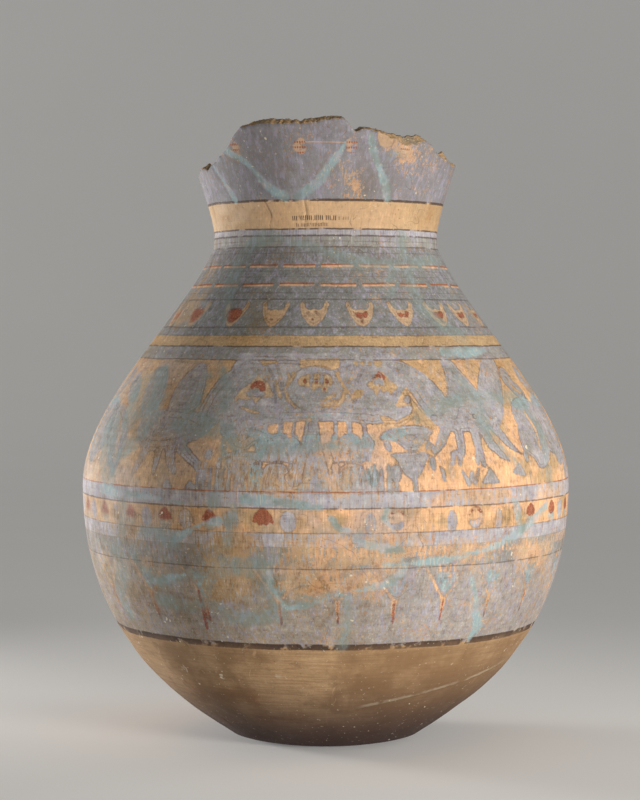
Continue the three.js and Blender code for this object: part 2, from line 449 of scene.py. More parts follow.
def bell_bunch(brush, angle, z, flip=1, size=1.0):
    """Hanging buds and bell-shaped flowers, in two rows under a table."""
    brush.move(angle, z, flip, size)
    brush.bend("blue", (-15, 2, 1.8), (-15, -12, 1.8), (-18, -25, 5.0), (-18, -38, 1.6))
    brush.shape("turquoise", (-18, -12), (-13, -18), (-13, -27), (-17, -31), (-22, -26), (-21, -18))
    brush.bend("blue", (-2, 4, 2.0), (-2, -14, 2.4))
    brush.shape(
        "blue", (-12, -16), (-2, -11), (8, -16), (10, -28), (17, -43), (-2, -41), (-22, -43), (-14, -28)
    )
    brush.shape("turquoise", (-11, -17), (-2, -11), (7, -17), (8, -25), (-2, -24), (-12, -25))
    brush.bend("blue", (12, 1, 1.8), (13, -12, 2), (15, -24, 6.4), (15, -40, 2))
    brush.shape("turquoise", (9, -13), (20, -13), (23, -22), (18, -34), (14, -40), (11, -28), (7, -20))
    brush.bend("blue", (-17, -46, 4), (-17, -62, 2.6))
    brush.shape("blue", (-12, -43), (10, -43), (12, -56), (16, -73), (-18, -73), (-13, -56))
    brush.shape("turquoise", (13, -45), (23, -45), (25, -56), (19, -69), (13, -58))
    for x in (-9, -2, 5):
        brush.line("ground", 1.5, (x, -27), (x * 1.5, -41))
        brush.line("ground", 1.5, (x, -47), (x * 1.4, -66))


def offering_table(brush, angle, z, size=1.0):
    """A wreath and fruit heaped on a straight-edged table, on one flaring foot."""
    brush.move(angle, z, 1, size)
    brush.patch(
        "blue", (-93, -9), (-67, -10), (-48, -5), (-26, -1), (0, 0), (31, 0), (56, -3), (64, -2),
        (80, -3), (92, 2), (96, 12), (94, 22), (88, 37), (80, 62), (76, 82), (-76, 82), (-87, 54),
        (-101, 32), (-99, 7),
    )
    brush.patch("ground", (-17, 70), (-17, 60), (-10, 57), (18, 57), (23, 60), (23, 70))
    brush.cut("ground", oval(brush.u, brush.v, -1, 34, 27, 27))
    for side in (-1, 1):
        brush.bend("ground", (side * 29, 36, 1.6), (side * 26, 24, 2.4), (side * 18, 14, 1.6))
        brush.bend("ground", (side * 20, 53, 2), (side * 27, 38, 1.6), (side * 33, 30, 1))
        brush.bend("faint", (side * 39, 66, 1.0), (side * 33, 44, 1.4), (side * 30, 30, 1))
        brush.bend("faint", (side * 48, 62, 1.0), (side * 40, 46, 1.4), (side * 38, 20, 1.0))
        for x, y in ((38, 65), (34, 47), (22, 53), (45, 65), (52, 64)):
            brush.oval("ground", side * x, y, 2.0, 2.2)
    brush.shape(
        "ground", (-17, 38), (-17, 48), (-8, 53), (6, 54), (16, 51), (17, 38), (6, 38), (0, 35), (-6, 38)
    )
    brush.oval("ground", 9, 35, 2.8, 4)
    brush.oval("ground", -2, 36, 2.4, 2.6)
    brush.bend("ground", (6, 20, 1.2), (14, 26, 2.2), (20, 30, 1))
    brush.bend("ground", (5, 14, 1), (14, 18, 1.8), (19, 23, 1))
    for x in (-4, 6):
        brush.carve("ground", (x - 1.6, 54), (x + 1.6, 54), (x + 1.6, 38), (x - 1.6, 38))
    for x in (-10, 1, 11):
        brush.oval("red", x, 44, 1.8, 3.2)
    brush.oval("red", 9, 35, 1.4, 2.6)
    brush.oval("faint", 0, 36, 27, 26)
    brush.oval("faint", 0, 36, 17, 17)
    brush.line("faint", 1.6, (-16, 33), (17, 34))
    brush.patch(
        "ground", (-57, 50), (-68, 38), (-73, 34), (-80, 24), (-79, 20), (-75, 25), (-68, 22),
        (-62, 25), (-58, 18), (-54, 24), (-48, 25), (-40, 27), (-42, 34), (-46, 42),
    )
    brush.patch(
        "red", (-65, 37), (-61, 42), (-56, 45), (-50, 43), (-48, 33), (-54, 32), (-55, 36), (-60, 37),
        (-62, 34),
    )
    brush.carve("ground", (-70, 30), (-63, 35), (-58, 36), (-50, 33), (-47, 28), (-56, 26), (-67, 26))
    brush.bend("ground", (-38, 43, 1.6), (-36, 34, 2.6), (-33, 24, 1.4))
    brush.bend("ground", (-27, 55, 1), (-25, 48, 1.8), (-28, 38, 1))
    brush.patch("ground", (-58, 69), (-43, 69), (-36, 66), (-52, 61))
    brush.oval("dots", -39, 65, 1.6, 1.6)
    brush.bend("ground", (-72, 14, 1), (-62, 10, 1.6), (-54, 8, 1))
    brush.patch(
        "ground", (49, 40), (55, 46), (61, 57), (69, 50), (76, 42), (77, 32), (73, 28), (70, 34),
        (66, 30), (63, 36), (60, 27), (56, 33), (53, 36),
    )
    brush.carve("ground", (56, 44), (61, 48), (67, 45), (66, 38), (61, 41), (57, 39))
    brush.patch("red", (54, 43), (57, 50), (61, 56), (69, 48), (66, 45), (61, 49), (58, 47))
    brush.oval("ground", 77, 37, 3, 4)
    brush.oval("blue", 77, 37, 1.6, 2.4)
    brush.shape("ground", (33, 25), (36, 31), (42, 36), (48, 33), (47, 28), (40, 24))
    brush.patch("ground", (55, 68), (66, 68), (63, 60), (58, 60))
    brush.patch(
        "ground", (88, 38), (96, 30), (103, 16), (111, 5), (124, -9), (114, -10), (104, -4), (100, 8),
        (94, 16), (78, 15),
    )
    brush.carve("ground", (91, 28), (95, 24), (92, 18), (87, 20), (87, 25))
    brush.patch("ground", (63, 5), (70, -8), (80, -8), (88, -4), (101, 7), (96, 9), (80, -1), (70, 4))
    brush.oval("turquoise", 101, 0, 3.4, 4)
    brush.oval("outline", 90, 23, 4, 5)
    brush.oval("faint", 78, 53, 4, 6)
    for x0, y0, x1, y1 in ((-31, 7, -20, 5), (-14, 7, -7, 6), (-3, 5, 2, 5), (25, 9, 31, 8), (8, 7, 15, 6)):
        brush.bend("turquoise", (x0, y0, 1.2), (x1, y1, 1.2))
    brush.shape("blue", (-8, 3), (3, 3), (7, -21), (12, -42), (17, -62), (20, -78), (-26, -78), (-21, -60),
                (-18, -44), (-13, -26), (-10, -12))
    brush.patch("turquoise", (-8, -14), (6, -14), (8, -25), (-13, -25))
    for x in (-7, -1, 5):
        brush.line("ground", 1.4, (x, -32), (x * 1.2, -56))


def loose_leaves(brush, angle, z):
    """Worn upright leaves that fill the foot of the picture band."""
    brush.move(angle, z)
    for x, low, high, half in (
        (-14, -14, 8, 2.6), (-7, -16, 14, 3), (0, -16, 10, 2.4), (8, -16, 12, 3), (15, -15, 6, 2.2)
    ):
        brush.bend("blue", (x, low, half), (x * 0.9, high, half * 0.6))


# Places of the repeated and single motifs, as angles around the jar
SHOULDER_PETALS = (
    -71.9, -54.5, -34.7, -18.6, -4.2, 12.4, 28.4, 44.5, 58.2, 73.8, 90, 106, 122, 138, 154, 170, 186,
    202, 218, 234, 250, 267,
)
DARK_PETALS = (-54.5, -34.7, 106, 186, 250)
SPECKLED_PETALS = (-71.9, 12.4, 28.4, 44.5, 58.2, 73.8, 138, 154, 218)
BELLY_RED_PETALS = (-60, -48.7, -37.6, -26, -13.6, 52.6, 63)
BELLY_OVALS = (-54.4, -43.2, -31.9, -20.8, -8.1)
BELLY_CIRCLES = (3.2, 9.4, 15.4, 21.6, 28.2, 34.6, 41.2, 47.3)
LILIES = (
    -63, -45, -29, -10.7, 2.6, 15.7, 28, 41.5, 56, 73, 90, 107, 124, 141, 158, 175, 192, 209, 226, 243,
    260, 278,
)
DOT_GROUPS = (-57, -40.8, -10.6, 10.5, 34.6, 58.8, 84, 108, 132, 156, 180, 204, 228, 252, 278)

# Repair fills over the joins: each a line of angle, height and half width
REPAIRS = (
    ((-51, 611, 1), (-45, 604, 2.5), (-36, 593, 3), (-30, 576, 4), (-25, 565, 5), (-19, 558, 5)),
    ((8, 611, 1), (6, 601, 2.5), (2, 589, 3.5), (-3, 573, 3), (-10, 562, 4), (-14, 558, 4)),
    ((18, 618, 2), (20, 604, 3), (24, 585, 3), (28, 570, 3.5), (30, 557, 4)),
    ((-59, 594, 1), (-54, 578, 1.5), (-51, 568, 3), (-48, 557, 3)),
    ((38, 404, 6), (48, 404, 7), (60, 406, 4)),
    ((-62, 268, 5), (-57, 266, 6), (-47, 266, 4), (-38, 263, 3), (-32, 261, 2)),
    ((-18, 267, 5), (-12, 265, 5), (-6, 262, 4), (-1, 260, 2)),
    ((1, 250, 3), (3, 238, 4), (8, 236, 2)),
    ((6, 229, 3), (9, 224, 5), (13, 220, 5), (17, 218, 3)),
    ((13, 256, 3), (12.5, 247, 4), (15, 236, 2), (16, 222, 2)),
    ((13, 204, 2), (21, 205, 3), (28, 207, 3), (36, 213, 3), (42, 218, 4), (47, 226, 5), (53, 237, 5),
     (60, 252, 4)),
    ((46, 262, 2), (47.5, 252, 6), (49, 235, 5)),
    ((3, 175, 2.5), (6, 179, 2), (10, 182, 3), (15, 188, 3.5), (17, 197, 3.5), (18, 202, 3)),
    ((35, 187, 2), (37, 173, 3), (39, 152, 5), (41, 135, 7), (40, 124, 5)),
    ((-12.5, 196, 2), (-12, 180, 2.5), (-9, 162, 2.5), (-6, 164, 3), (-1, 170, 2.5), (3, 178, 2.5)),
    ((-36, 224, 2), (-34, 229, 3.5), (-30, 237, 3.5), (-27, 243, 3), (-24, 244, 6)),
    ((-46, 180, 2), (-41, 183, 3), (-37, 188, 3.5), (-34, 190, 3.5), (-29, 197, 2)),
    ((110, 600, 3), (118, 560, 4), (125, 520, 4), (122, 470, 5), (135, 420, 5), (128, 360, 4), (140, 300, 4),
     (136, 240, 5), (146, 180, 4), (150, 130, 3)),
    ((200, 590, 3), (206, 540, 4), (214, 500, 5), (205, 440, 4), (216, 380, 6), (224, 330, 4), (216, 270, 5),
     (226, 200, 4), (222, 140, 3)),
    ((128, 360, 3), (150, 372, 4), (176, 356, 5), (196, 366, 4), (216, 380, 4)),
    ((140, 236, 3), (160, 226, 4), (186, 240, 5), (208, 232, 4), (226, 222, 3)),
)

# Thin greenish film along the joins: each a line of angle, height and half width
SMEARS = (
    ((-26, 520, 7), (-33, 518, 8), (-40, 511, 7), (-44, 494, 8), (-44, 476, 8), (-40, 456, 5), (-37, 434, 4)),
    ((-28, 518, 3), (-13, 513, 4), (2, 502, 6), (16, 494, 5), (36, 492, 5), (60, 497, 5), (80, 498, 4)),
    ((41, 519, 6), (40, 494, 6), (37, 466, 4), (38, 446, 5), (43, 432, 6), (50, 418, 7)),
    ((36, 494, 3), (30, 480, 4), (26, 462, 3)),
    ((38, 399, 4), (39, 382, 7), (40, 363, 9), (41, 339, 6), (43, 319, 5), (48, 300, 3)),
    ((22, 343, 3), (27, 350, 6), (32, 357, 6), (38, 361, 6), (51, 360, 4), (62, 362, 3)),
    ((57, 356, 4), (63, 348, 7), (65, 326, 4), (62, 296, 4), (62, 276, 4)),
    ((-34, 382, 3), (-35, 354, 8), (-37, 339, 13), (-29, 334, 12), (-24, 330, 10)),
    ((-32, 395, 3), (-27, 373, 5), (-26, 350, 6)),
    ((-25, 335, 4), (-24, 317, 4), (-23, 298, 4), (-24, 279, 4), (-25, 262, 5)),
    ((-54, 384, 8), (-49, 357, 12), (-48, 338, 12), (-50, 318, 9), (-56, 300, 8)),
    ((-66, 330, 16), (-62, 300, 16), (-58, 282, 14)),
    ((-60, 372, 14), (-56, 340, 16)),
    ((-23, 325, 8), (-20, 317, 8), (-15, 312, 6), (2, 316, 5), (10, 318, 4)),
    ((-55, 266, 4), (-51, 255, 4), (-53, 229, 5), (-55, 211, 7)),
    ((4, 176, 5), (5.5, 156, 5), (4.5, 139, 5), (4, 125, 5)),
    ((-28, 175, 4), (-26, 189, 4), (-23, 200, 5), (-19, 200, 4), (-14, 197, 5)),
    ((-29, 171, 6), (-27, 162, 6), (-23, 152, 8), (-19, 149, 9), (-15, 153, 9), (-11, 158, 8)),
    ((-58, 210, 6), (-56, 188, 12), (-60, 166, 10), (-59, 141, 8)),
    ((-44, 165, 4), (-40, 162, 5), (-34, 160, 5), (-29, 163, 4)),
    ((-49, 203, 3), (-42, 181, 4), (-31, 191, 5), (-20, 203, 5), (-14, 194, 4), (-12, 162, 5), (2, 176, 4)),
    ((-22, 222, 5), (-21, 242, 7), (-20, 254, 7)),
    ((-24, 208, 6), (-21, 206, 6), (-14, 204, 5)),
    ((-44, 232, 7), (-36, 226, 6)),
    ((26, 598, 2), (29, 602, 3), (36, 603, 2)),
    ((150, 470, 8), (176, 460, 9), (196, 474, 8)),
    ((96, 330, 12), (104, 300, 12)),
    ((250, 340, 14), (262, 310, 12), (268, 290, 10)),
)

# Thin joins that were left open: lines of angle and height
JOINS = (
    ((-78, 590), (-70, 560), (-74, 520), (-66, 480), (-70, 440), (-64, 400), (-68, 350), (-62, 300)),
    ((40, 123), (41, 101), (39, 86)),
    ((-40, 122), (-34, 96), (-20, 78), (2, 70), (11, 56)),
    ((-10, 555), (-9, 540), (-11, 528)),
    ((-30, 555), (-27, 541), (-29, 528)),
    ((96, 400), (100, 340), (92, 280), (98, 210), (94, 150)),
    ((176, 352), (180, 300), (172, 240)),
)

# Spots where the paint has worn to the ground: angle, height, radius across, radius up
WORN_SPOTS = (
    (-2, 222, 34, 16), (6, 207, 44, 12), (16, 226, 36, 12), (-4, 190, 40, 16), (9, 188, 30, 14),
    (-23, 186, 24, 18), (-20, 224, 20, 14), (-52, 240, 30, 14), (-28, 250, 30, 10), (30, 216, 40, 8),
    (-12, 286, 36, 14), (-20, 300, 18, 24), (3, 300, 14, 30), (-44, 296, 40, 20), (45, 250, 60, 8),
    (24, 262, 14, 7), (26, 612, 8, 5), (36, 606, 10, 4), (-44, 600, 8, 5), (13, 565, 4, 10),
    (-64, 460, 20, 40), (58, 206, 40, 10), (34, 268, 50, 6), (62, 262, 30, 6), (130, 250, 50, 20),
    (170, 210, 60, 24), (210, 300, 40, 30), (240, 180, 50, 20), (190, 430, 40, 12),
)

# Brown, dirty areas: angle, height, radius across, radius up
STAINS = (
    (-46, 350, 90, 55), (-30, 240, 70, 45), (-42, 165, 70, 34), (-18, 175, 60, 34), (-2, 185, 40, 22),
    (-26, 440, 30, 40), (-8, 585, 36, 18), (18, 575, 14, 18), (60, 380, 30, 26), (-36, 62, 70, 24),
    (-12, 40, 60, 16), (52, 52, 40, 18), (14, 84, 26, 12),
    (-54, 541, 26, 16), (64, 541, 26, 16),
    (120, 200, 80, 50), (190, 330, 80, 60), (250, 180, 80, 50), (280, 420, 50, 60),
)


def paint_picture_band(brush):
    offering_table(brush, -2.8, 340)
    bell_bunch(brush, 5.9, 340)
    bell_bunch(brush, -11.2, 340, flip=-1)
    duck_bundle(brush, 35, 344)
    far_mass(brush, 35, 344)
    worn_bundle(brush, -32, 343)
    for side in (-1, 1):
        fan_flower(brush, 18 * side, 311, flip=side)
    for place, flip in ((104, 1), (140, -1), (220, 1), (256, -1)):
        duck_bundle(brush, place, 344, flip=flip, size=0.95)
    for place, flip in ((72, 1), (288, -1)):
        far_mass(brush, place - 24 * flip, 344, flip=flip)
    for place in (122, 156, 204, 238):
        fan_flower(brush, place, 311)
    offering_table(brush, 180, 340)
    bell_bunch(brush, 188.5, 340)
    bell_bunch(brush, 171.5, 340, flip=-1)
    for place in (-26, -20, -13, -6, 0, 6, 12, 78, 88, 112, 130, 148, 164, 196, 212, 230, 246, 270, 280):
        loose_leaves(brush, place, 287)
    for layer in ("blue", "ground", "turquoise"):
        brush.keep_between(layer, 273, 404)


def paint_shoulder_petals(brush):
    for place in SHOULDER_PETALS:
        brush.move(place, 442, reach=40)
        brush.shape("ground", (-14, 17), (14, 17), (14, 6), (9, -8), (0, -18), (-9, -8), (-14, 6))
        brush.carve("ground", (-11, 26), (11, 26), (10, 9), (5, 4), (0, 7), (-5, 4), (-10, 9))
        brush.shape("faint", (-12, 18), (12, 18), (11, 3), (6, -8), (0, -13), (-6, -8), (-11, 3))
        if place in DARK_PETALS:
            brush.shape("red", (-10, 7), (10, 7), (9, -4), (0, -13), (-9, -4))
        elif place in SPECKLED_PETALS:
            brush.shape("red", (-8, 4), (-5, 0), (-2, 3), (1, -1), (4, 4), (8, 3), (5, -6), (0, -3), (-5, -6))
            brush.oval("red", 0, -9, 2, 1.5)
        else:
            for x, y in ((-6, 1), (2, 2), (6, -2), (-1, -7)):
                brush.oval("red", x, y, 1.3, 1.3)


def paint_belly_petals(brush):
    rest = tuple(np.arange(69, 298, 5.6))
    for place in BELLY_RED_PETALS + rest[1::2]:
        size = 1.15 if place == -13.6 else 0.9
        brush.move(place, 246, size=size, reach=40)
        brush.shape(
            "red", (-10, -3), (-8, 5), (0, 13), (8, 5), (10, -3), (6, 0), (3, -4), (0, -1), (-3, -4),
            (-6, 0),
        )
        brush.shape("faint", (-10, -4), (-9, 5), (0, 13), (9, 5), (10, -4), (6, -11), (-6, -11))
        if place != -13.6:
            brush.shape("turquoise", (-9, -3), (0, -1), (9, -3), (6, -11), (-6, -11))
    for place in BELLY_OVALS + rest[0::2]:
        brush.move(place, 246, reach=40)
        brush.oval("blue", 0, 0, 8, 10)
        brush.oval("faint", 0, 0, 8, 10)
    for index, place in enumerate(BELLY_CIRCLES):
        brush.move(place, 247, reach=40)
        brush.oval("faint", 0, 0, 10, 10)
        if index % 3 == 2:
            brush.shape("blue", (-9, -1), (-3, -4), (4, -1), (9, -1), (5, -10), (-5, -10))
        if index in (1, 4, 6):
            brush.shape("blue", (-3, 7), (3, 8), (6, -2), (5, -12), (-2, -14), (-5, -6))
        if index in (2, 5, 7):
            brush.bend("red", (-8, 3, 0.5), (-5, 7, 1.2), (1, 9, 1.4), (6, 6, 1.2), (8, 2, 0.5))


def paint_lilies(brush):
    for place in LILIES:
        brush.move(place, 172, reach=60)
        for side in (-1, 1):
            brush.bend("ground", (side * 24, 30, 0.6), (side * 15, 17, 0.9), (side * 5, 2, 1.1), (0, -4, 1.4))
            brush.bend("faint", (side * 20, 30, 0.4), (side * 12, 17, 0.4), (side * 3, 4, 0.4))
        brush.patch("ground", (-3, -2), (3, -2), (0.8, -24), (-0.8, -24))
        brush.line("red", 2.2, (0, -4), (0.5, -27))
        brush.shape("turquoise", (-12, 22), (-5, 25), (0, 21), (5, 25), (12, 22), (5, 5), (0, 2), (-5, 5))
        for x in (-9, -3, 3, 9):
            brush.line("ground", 1.8, (x, 32), (x * 0.7, 19))
    brush.move(-30.4, 172, reach=60)
    brush.line("red", 3.0, (0, 5), (1, -14), (0, -37))
    for place, after in list(zip(LILIES, LILIES[1:]))[::3]:
        brush.move((place + after) / 2, 164, reach=60)
        brush.oval("faint", 0, 0, 24, 22)


def paint_wall(brush):
    """Fills the brush's layers with every painted shape, repair and worn spot."""
    paint_picture_band(brush)
    paint_shoulder_petals(brush)
    paint_belly_petals(brush)
    paint_lilies(brush)
    for place in DOT_GROUPS:
        brush.move(place, 609, reach=30)
        brush.oval("dots", 0, -1, 6.5, 8)
    brush.move(24.5, 616, reach=40)
    brush.shape("ground", (-10, 12), (8, 12), (10, -6), (6, -9), (-4, -10), (-9, 0))
    for name, places in (("fill", REPAIRS), ("smear", SMEARS)):
        for place in places:
            brush.trail(name, place)
    for angle, z, across, up in WORN_SPOTS:
        brush.move(angle, z)
        brush.oval("worn", 0, 0, across, up)
    for angle, z, across, up in STAINS:
        brush.move(angle, z, reach=180)
        brush.oval("stain", 0, 0, across, up)
    return brush.layers


def smooth(x):
    x = np.clip(x, 0, 1)
    return x * x * (3 - 2 * x)


def uneven(angle, z, seed, count=9, stretch=90.0):
    """Slow waves over the wall, between about -1 and 1."""
    rng = np.random.default_rng(seed)
    total = np.zeros_like(z)
    for _ in range(count):
        turns = rng.integers(1, 7)
        total += np.sin(np.radians(angle) * turns + z / stretch * rng.uniform(0.5, 3) + rng.uniform(0, 6.3))
    return total / math.sqrt(count) / 1.4


def outer_relief(angle, z, layers, joins, sizes):
    """How far the outer face stands out from the true curve, in millimetres."""
    out = sizes.unevenness * 1000 * uneven(angle, z, 11)
    swell = 0.5 + 0.5 * uneven(angle, z, 12, stretch=30)
    turning = np.sin(z / 1.35 + 0.6 * np.sin(np.radians(angle) * 2)) * swell
    out += sizes.wheel_marks * 1000 * turning
    out += 0.9 * np.exp(-(((z - 519) / 2.4) ** 2)) - 0.35 * np.exp(-(((z - 525) / 1.8) ** 2))
    out -= 0.3 * np.exp(-(((z - 509) / 1.6) ** 2))
    fill = layers["fill"]
    lumps = uneven(angle * 6, z, 13, stretch=9)
    out += smooth((1.5 - fill) / 3) * (-0.35 + 0.3 * lumps)
    out -= 0.35 * np.exp(-((fill / 1.6) ** 2))
    out -= 0.7 * np.exp(-((joins / 1.4) ** 2))
    scraped = smooth((118 - z) / 20)
    out += scraped * 0.45 * uneven(angle * 3, z, 14, stretch=16)
    return out


def pits(angle, z, profile, seed, count=90):
    """Small hollows where grit has fallen out."""
    rng = np.random.default_rng(seed)
    radius, along = profile.radius(z), profile.along(z)
    out = np.zeros_like(z)
    spots = [
        (-50.5, 158, 2.4), (-19.5, 222, 2.0), (0.4, 160, 1.8), (-18, 206, 1.5), (24, 165, 1.6),
        (33, 118, 2.2),
    ]
    spots += zip(rng.uniform(-180, 180, count), rng.uniform(15, 600, count), rng.uniform(1.4, 2.8, count))
    for a, h, w in spots:
        turn = np.radians((angle - a + 180) % 360 - 180)
        near = np.hypot(turn * radius, along - profile.along(h)) / w
        out -= 0.8 * np.exp(-(near ** 2))
    return out


# Making and dressing the jar

# Rows of points up the outside: from one height to another, and the distance between rows
OUTER_ROWS = ((6, 118, 10.0), (118, 272, 3.7), (272, 400, 2.6), (400, 460, 3.3), (460, 522, 4.8))
NECK_ROWS, BREAK_ROWS, INNER_NECK_ROWS, INNER_ROWS = 26, 5, 7, 16

# How far, in degrees, the columns of points are drawn together at the front
FRONT_FINENESS = 30.0

# Height between two rows of the line before it is spun, in metres
ROW_STEP = 0.003


def deselect():
    if bpy.context.mode != "OBJECT":
        bpy.ops.object.mode_set(mode="OBJECT")
    bpy.ops.object.select_all(action="DESELECT")


def section_rows(profile):
    """The jar's section as rows: a zone, a share through the zone, a radius and a height."""
    rows = [("outer", 0, 0, 0)]
    rows += [("outer", 0, r, 0) for r in (profile.rest * 0.35, profile.rest * 0.7, profile.rest)]
    base = profile.foot - profile.rest
    for share in (0.3, 0.6, 0.85):
        rows.append(("outer", 0, profile.rest + share * base, profile.foot_z * share ** 2.2))
    for low, high, step in OUTER_ROWS:
        count = max(2, round(float(profile.along(high) - profile.along(low)) / step))
        for s in np.linspace(profile.along(low), profile.along(high), count, endpoint=False):
            z = float(profile.height(s))
            rows.append(("outer", 0, float(profile.radius(z)), z))
    rows += [("neck", i / NECK_ROWS, profile.throat, profile.throat_high) for i in range(NECK_ROWS + 1)]
    rows += [("break", i / (BREAK_ROWS + 1), profile.rim, profile.top) for i in range(1, BREAK_ROWS + 1)]
    rows += [("inner neck", 1 - i / INNER_NECK_ROWS, 0, 0) for i in range(INNER_NECK_ROWS + 1)]
    for s in np.linspace(profile.along(profile.throat_high - 4), profile.along(34), INNER_ROWS):
        z = float(profile.height(s))
        nr, nz = profile.outward(np.array(z))
        rows.append(("inner", 0, float(profile.radius(z) - profile.wall * nr), float(z - profile.wall * nz)))
    radius, above_floor = rows[-1][2], rows[-1][3] - profile.floor
    for width, height in ((0.86, 0.35), (0.68, 0), (0.3, 0), (0, 0)):
        rows.append(("inner", 0, radius * width, profile.floor + above_floor * height))
    return rows


def spin_section(rows, columns):
    """Draws the section as a line and spins it into a closed wall. Each point keeps its row's number."""
    deselect()
    bpy.ops.mesh.primitive_circle_add(vertices=3, radius=0.1, location=(0, 0, 0))
    jar = bpy.context.object
    jar.name = jar.data.name = "painted_jar"
    jar.data.clear_geometry()
    spread = [(0.02 + 0.25 * (i % 2) * 1e-6, 0, i * ROW_STEP) for i in range(len(rows))]
    spread[0], spread[-1] = (0, 0, 0), (0, 0, (len(rows) - 1) * ROW_STEP)
    jar.data.from_pydata(spread, [(i, i + 1) for i in range(len(rows) - 1)], [])
    bpy.ops.object.mode_set(mode="EDIT")
    bpy.ops.mesh.select_all(action="SELECT")
    bpy.ops.mesh.spin(steps=columns, angle=math.tau, center=(0, 0, 0), axis=(0, 0, 1))
    bpy.ops.mesh.select_all(action="SELECT")
    bpy.ops.mesh.remove_doubles(threshold=1e-5)
    bpy.ops.mesh.select_all(action="SELECT")
    bpy.ops.mesh.normals_make_consistent(inside=False)
    bpy.ops.object.mode_set(mode="OBJECT")
    return jar


def place_points(jar, rows, profile, sizes):
    """Moves the spun points onto the jar's wall and returns each point's row, angle and height."""
    mesh = jar.data
    points = np.empty(len(mesh.vertices) * 3)
    mesh.vertices.foreach_get("co", points)
    points = points.reshape(-1, 3)
    row = np.clip(np.rint(points[:, 2] / ROW_STEP).astype(int), 0, len(rows) - 1)
    even = np.degrees(np.arctan2(points[:, 0], -points[:, 1]))
    angle = even - FRONT_FINENESS * np.sin(np.radians(even))
    zone = np.array([r[0] for r in rows])[row]
    share = np.array([r[1] for r in rows])[row]
    radius = np.array([r[2] for r in rows], dtype=float)[row]
    z = np.array([r[3] for r in rows], dtype=float)[row]
    inner_break, outer_break = break_heights(angle, profile, sizes.chip_depth * 1000)

    neck = zone == "neck"
    z[neck] = profile.throat_high + share[neck] * (outer_break[neck] - profile.throat_high)
    radius[neck] = profile.radius(z[neck])

    def inner_place(height):
        nr, _ = profile.outward(height)
        return profile.radius(height) - profile.wall * nr, height

    inside = zone == "inner neck"
    z[inside] = profile.throat_high + share[inside] * (inner_break[inside] - profile.throat_high)
    radius[inside], z[inside] = inner_place(z[inside])

    gap = zone == "break"
    r_out = profile.radius(outer_break[gap])
    r_in, z_in = inner_place(inner_break[gap])
    t = share[gap]
    radius[gap] = r_out + (r_in - r_out) * t
    z[gap] = outer_break[gap] + (z_in - outer_break[gap]) * t
    rough = ragged(angle[gap] + 40 * t, 300, 21) + 0.6 * ragged(angle[gap] * 1.7 + 90 * t, 520, 22)
    z[gap] += sizes.chip_depth * 1000 * 0.55 * rough * np.sin(np.pi * t)
    radius[gap] += 0.5 * ragged(angle[gap] + 70 * t, 360, 23) * np.sin(np.pi * t)
    return row, zone, angle, radius, z


def raise_relief(profile, sizes, zone, angle, radius, z, painted, layers, joins):
    """Moves the wall's points in and out by the small relief of a hand-made, mended jar."""
    relief = np.zeros_like(z)
    relief[painted] = outer_relief(angle[painted], z[painted], layers, joins, sizes)
    relief[painted] += pits(angle[painted], z[painted], profile, 31)
    outside, inside = np.isin(zone, ("outer", "neck")), np.isin(zone, ("inner", "inner neck"))
    relief[outside] *= smooth((z - 2) / 25)[outside]
    ridges = sizes.inner_ridges * 1000 * np.sin(z / 2.3 + 0.5 * np.sin(np.radians(angle)))
    relief[inside] = (ridges * smooth((z - profile.floor) / 30))[inside]
    relief[zone == "break"] = 0
    nr, nz = profile.outward(z)
    sign = np.where(inside, -1.0, 1.0)
    radius = radius + relief * nr * sign
    z = np.where(z > profile.floor + 1, z + relief * nz * sign, z)
    return radius, np.clip(z, 0, CAD_HIGH[2] * 1000)


def read_all(items, name):
    """One whole number of each item, such as each face's first corner."""
    values = np.empty(len(items), dtype=np.int32)
    items.foreach_get(name, values)
    return values


def give_materials(mesh, rows, row, materials):
    """Paint outside, broken clay on the edge and bare clay inside, by the rows that a face spans."""
    for material in materials:
        mesh.materials.append(material)
    starts = read_all(mesh.polygons, "loop_start")
    corner_rows = row[read_all(mesh.loops, "vertex_index")]
    middle = (np.minimum.reduceat(corner_rows, starts) + np.maximum.reduceat(corner_rows, starts)) / 2
    names = [r[0] for r in rows]
    first_inner = names.index("inner neck")
    last_outer = names.index("break") - 1
    slots = np.where(middle < last_outer, 0, np.where(middle < first_inner, 1, 2)).astype(np.int32)
    mesh.polygons.foreach_set("material_index", slots)
    mesh.polygons.foreach_set("use_smooth", np.ones(len(mesh.polygons), dtype=bool))


def build_jar(context):
    sizes = context.scene.jar_sizes
    profile = Profile(sizes)
    rows = section_rows(profile)
    jar = spin_section(rows, sizes.columns)
    row, zone, angle, radius, z = place_points(jar, rows, profile, sizes)
    painted = np.isin(zone, ("outer", "neck")) & (radius > profile.rest)

    layers = paint_wall(Brush(profile, angle[painted], z[painted]))
    joiner = Brush(profile, angle[painted], z[painted])
    for join in JOINS:
        joiner.trail("fill", [(a, h, 0.0) for a, h in join])
    joins = joiner.layers["fill"]
    radius, z = raise_relief(profile, sizes, zone, angle, radius, z, painted, layers, joins)

    mesh = jar.data
    turn = np.radians(angle)
    points = np.stack([radius * np.sin(turn), -radius * np.cos(turn), z], axis=1) / 1000
    mesh.vertices.foreach_set("co", points.ravel())
    for name, values in {**layers, "join": joins}.items():
        whole = np.full(len(z), Brush.FAR, dtype=np.float32)
        whole[painted] = values
        mesh.attributes.new(name, "FLOAT", "POINT").data.foreach_set("value", whole)
    groups = {name: make_group() for name, make_group in GROUPS.items()}
    materials = [make_clay(context.scene.jar_paint, groups) for make_clay in CLAYS]
    give_materials(mesh, rows, row, materials)
    mesh.update()

    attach(jar, "root")
    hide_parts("jar")
    return jar


# Shader building

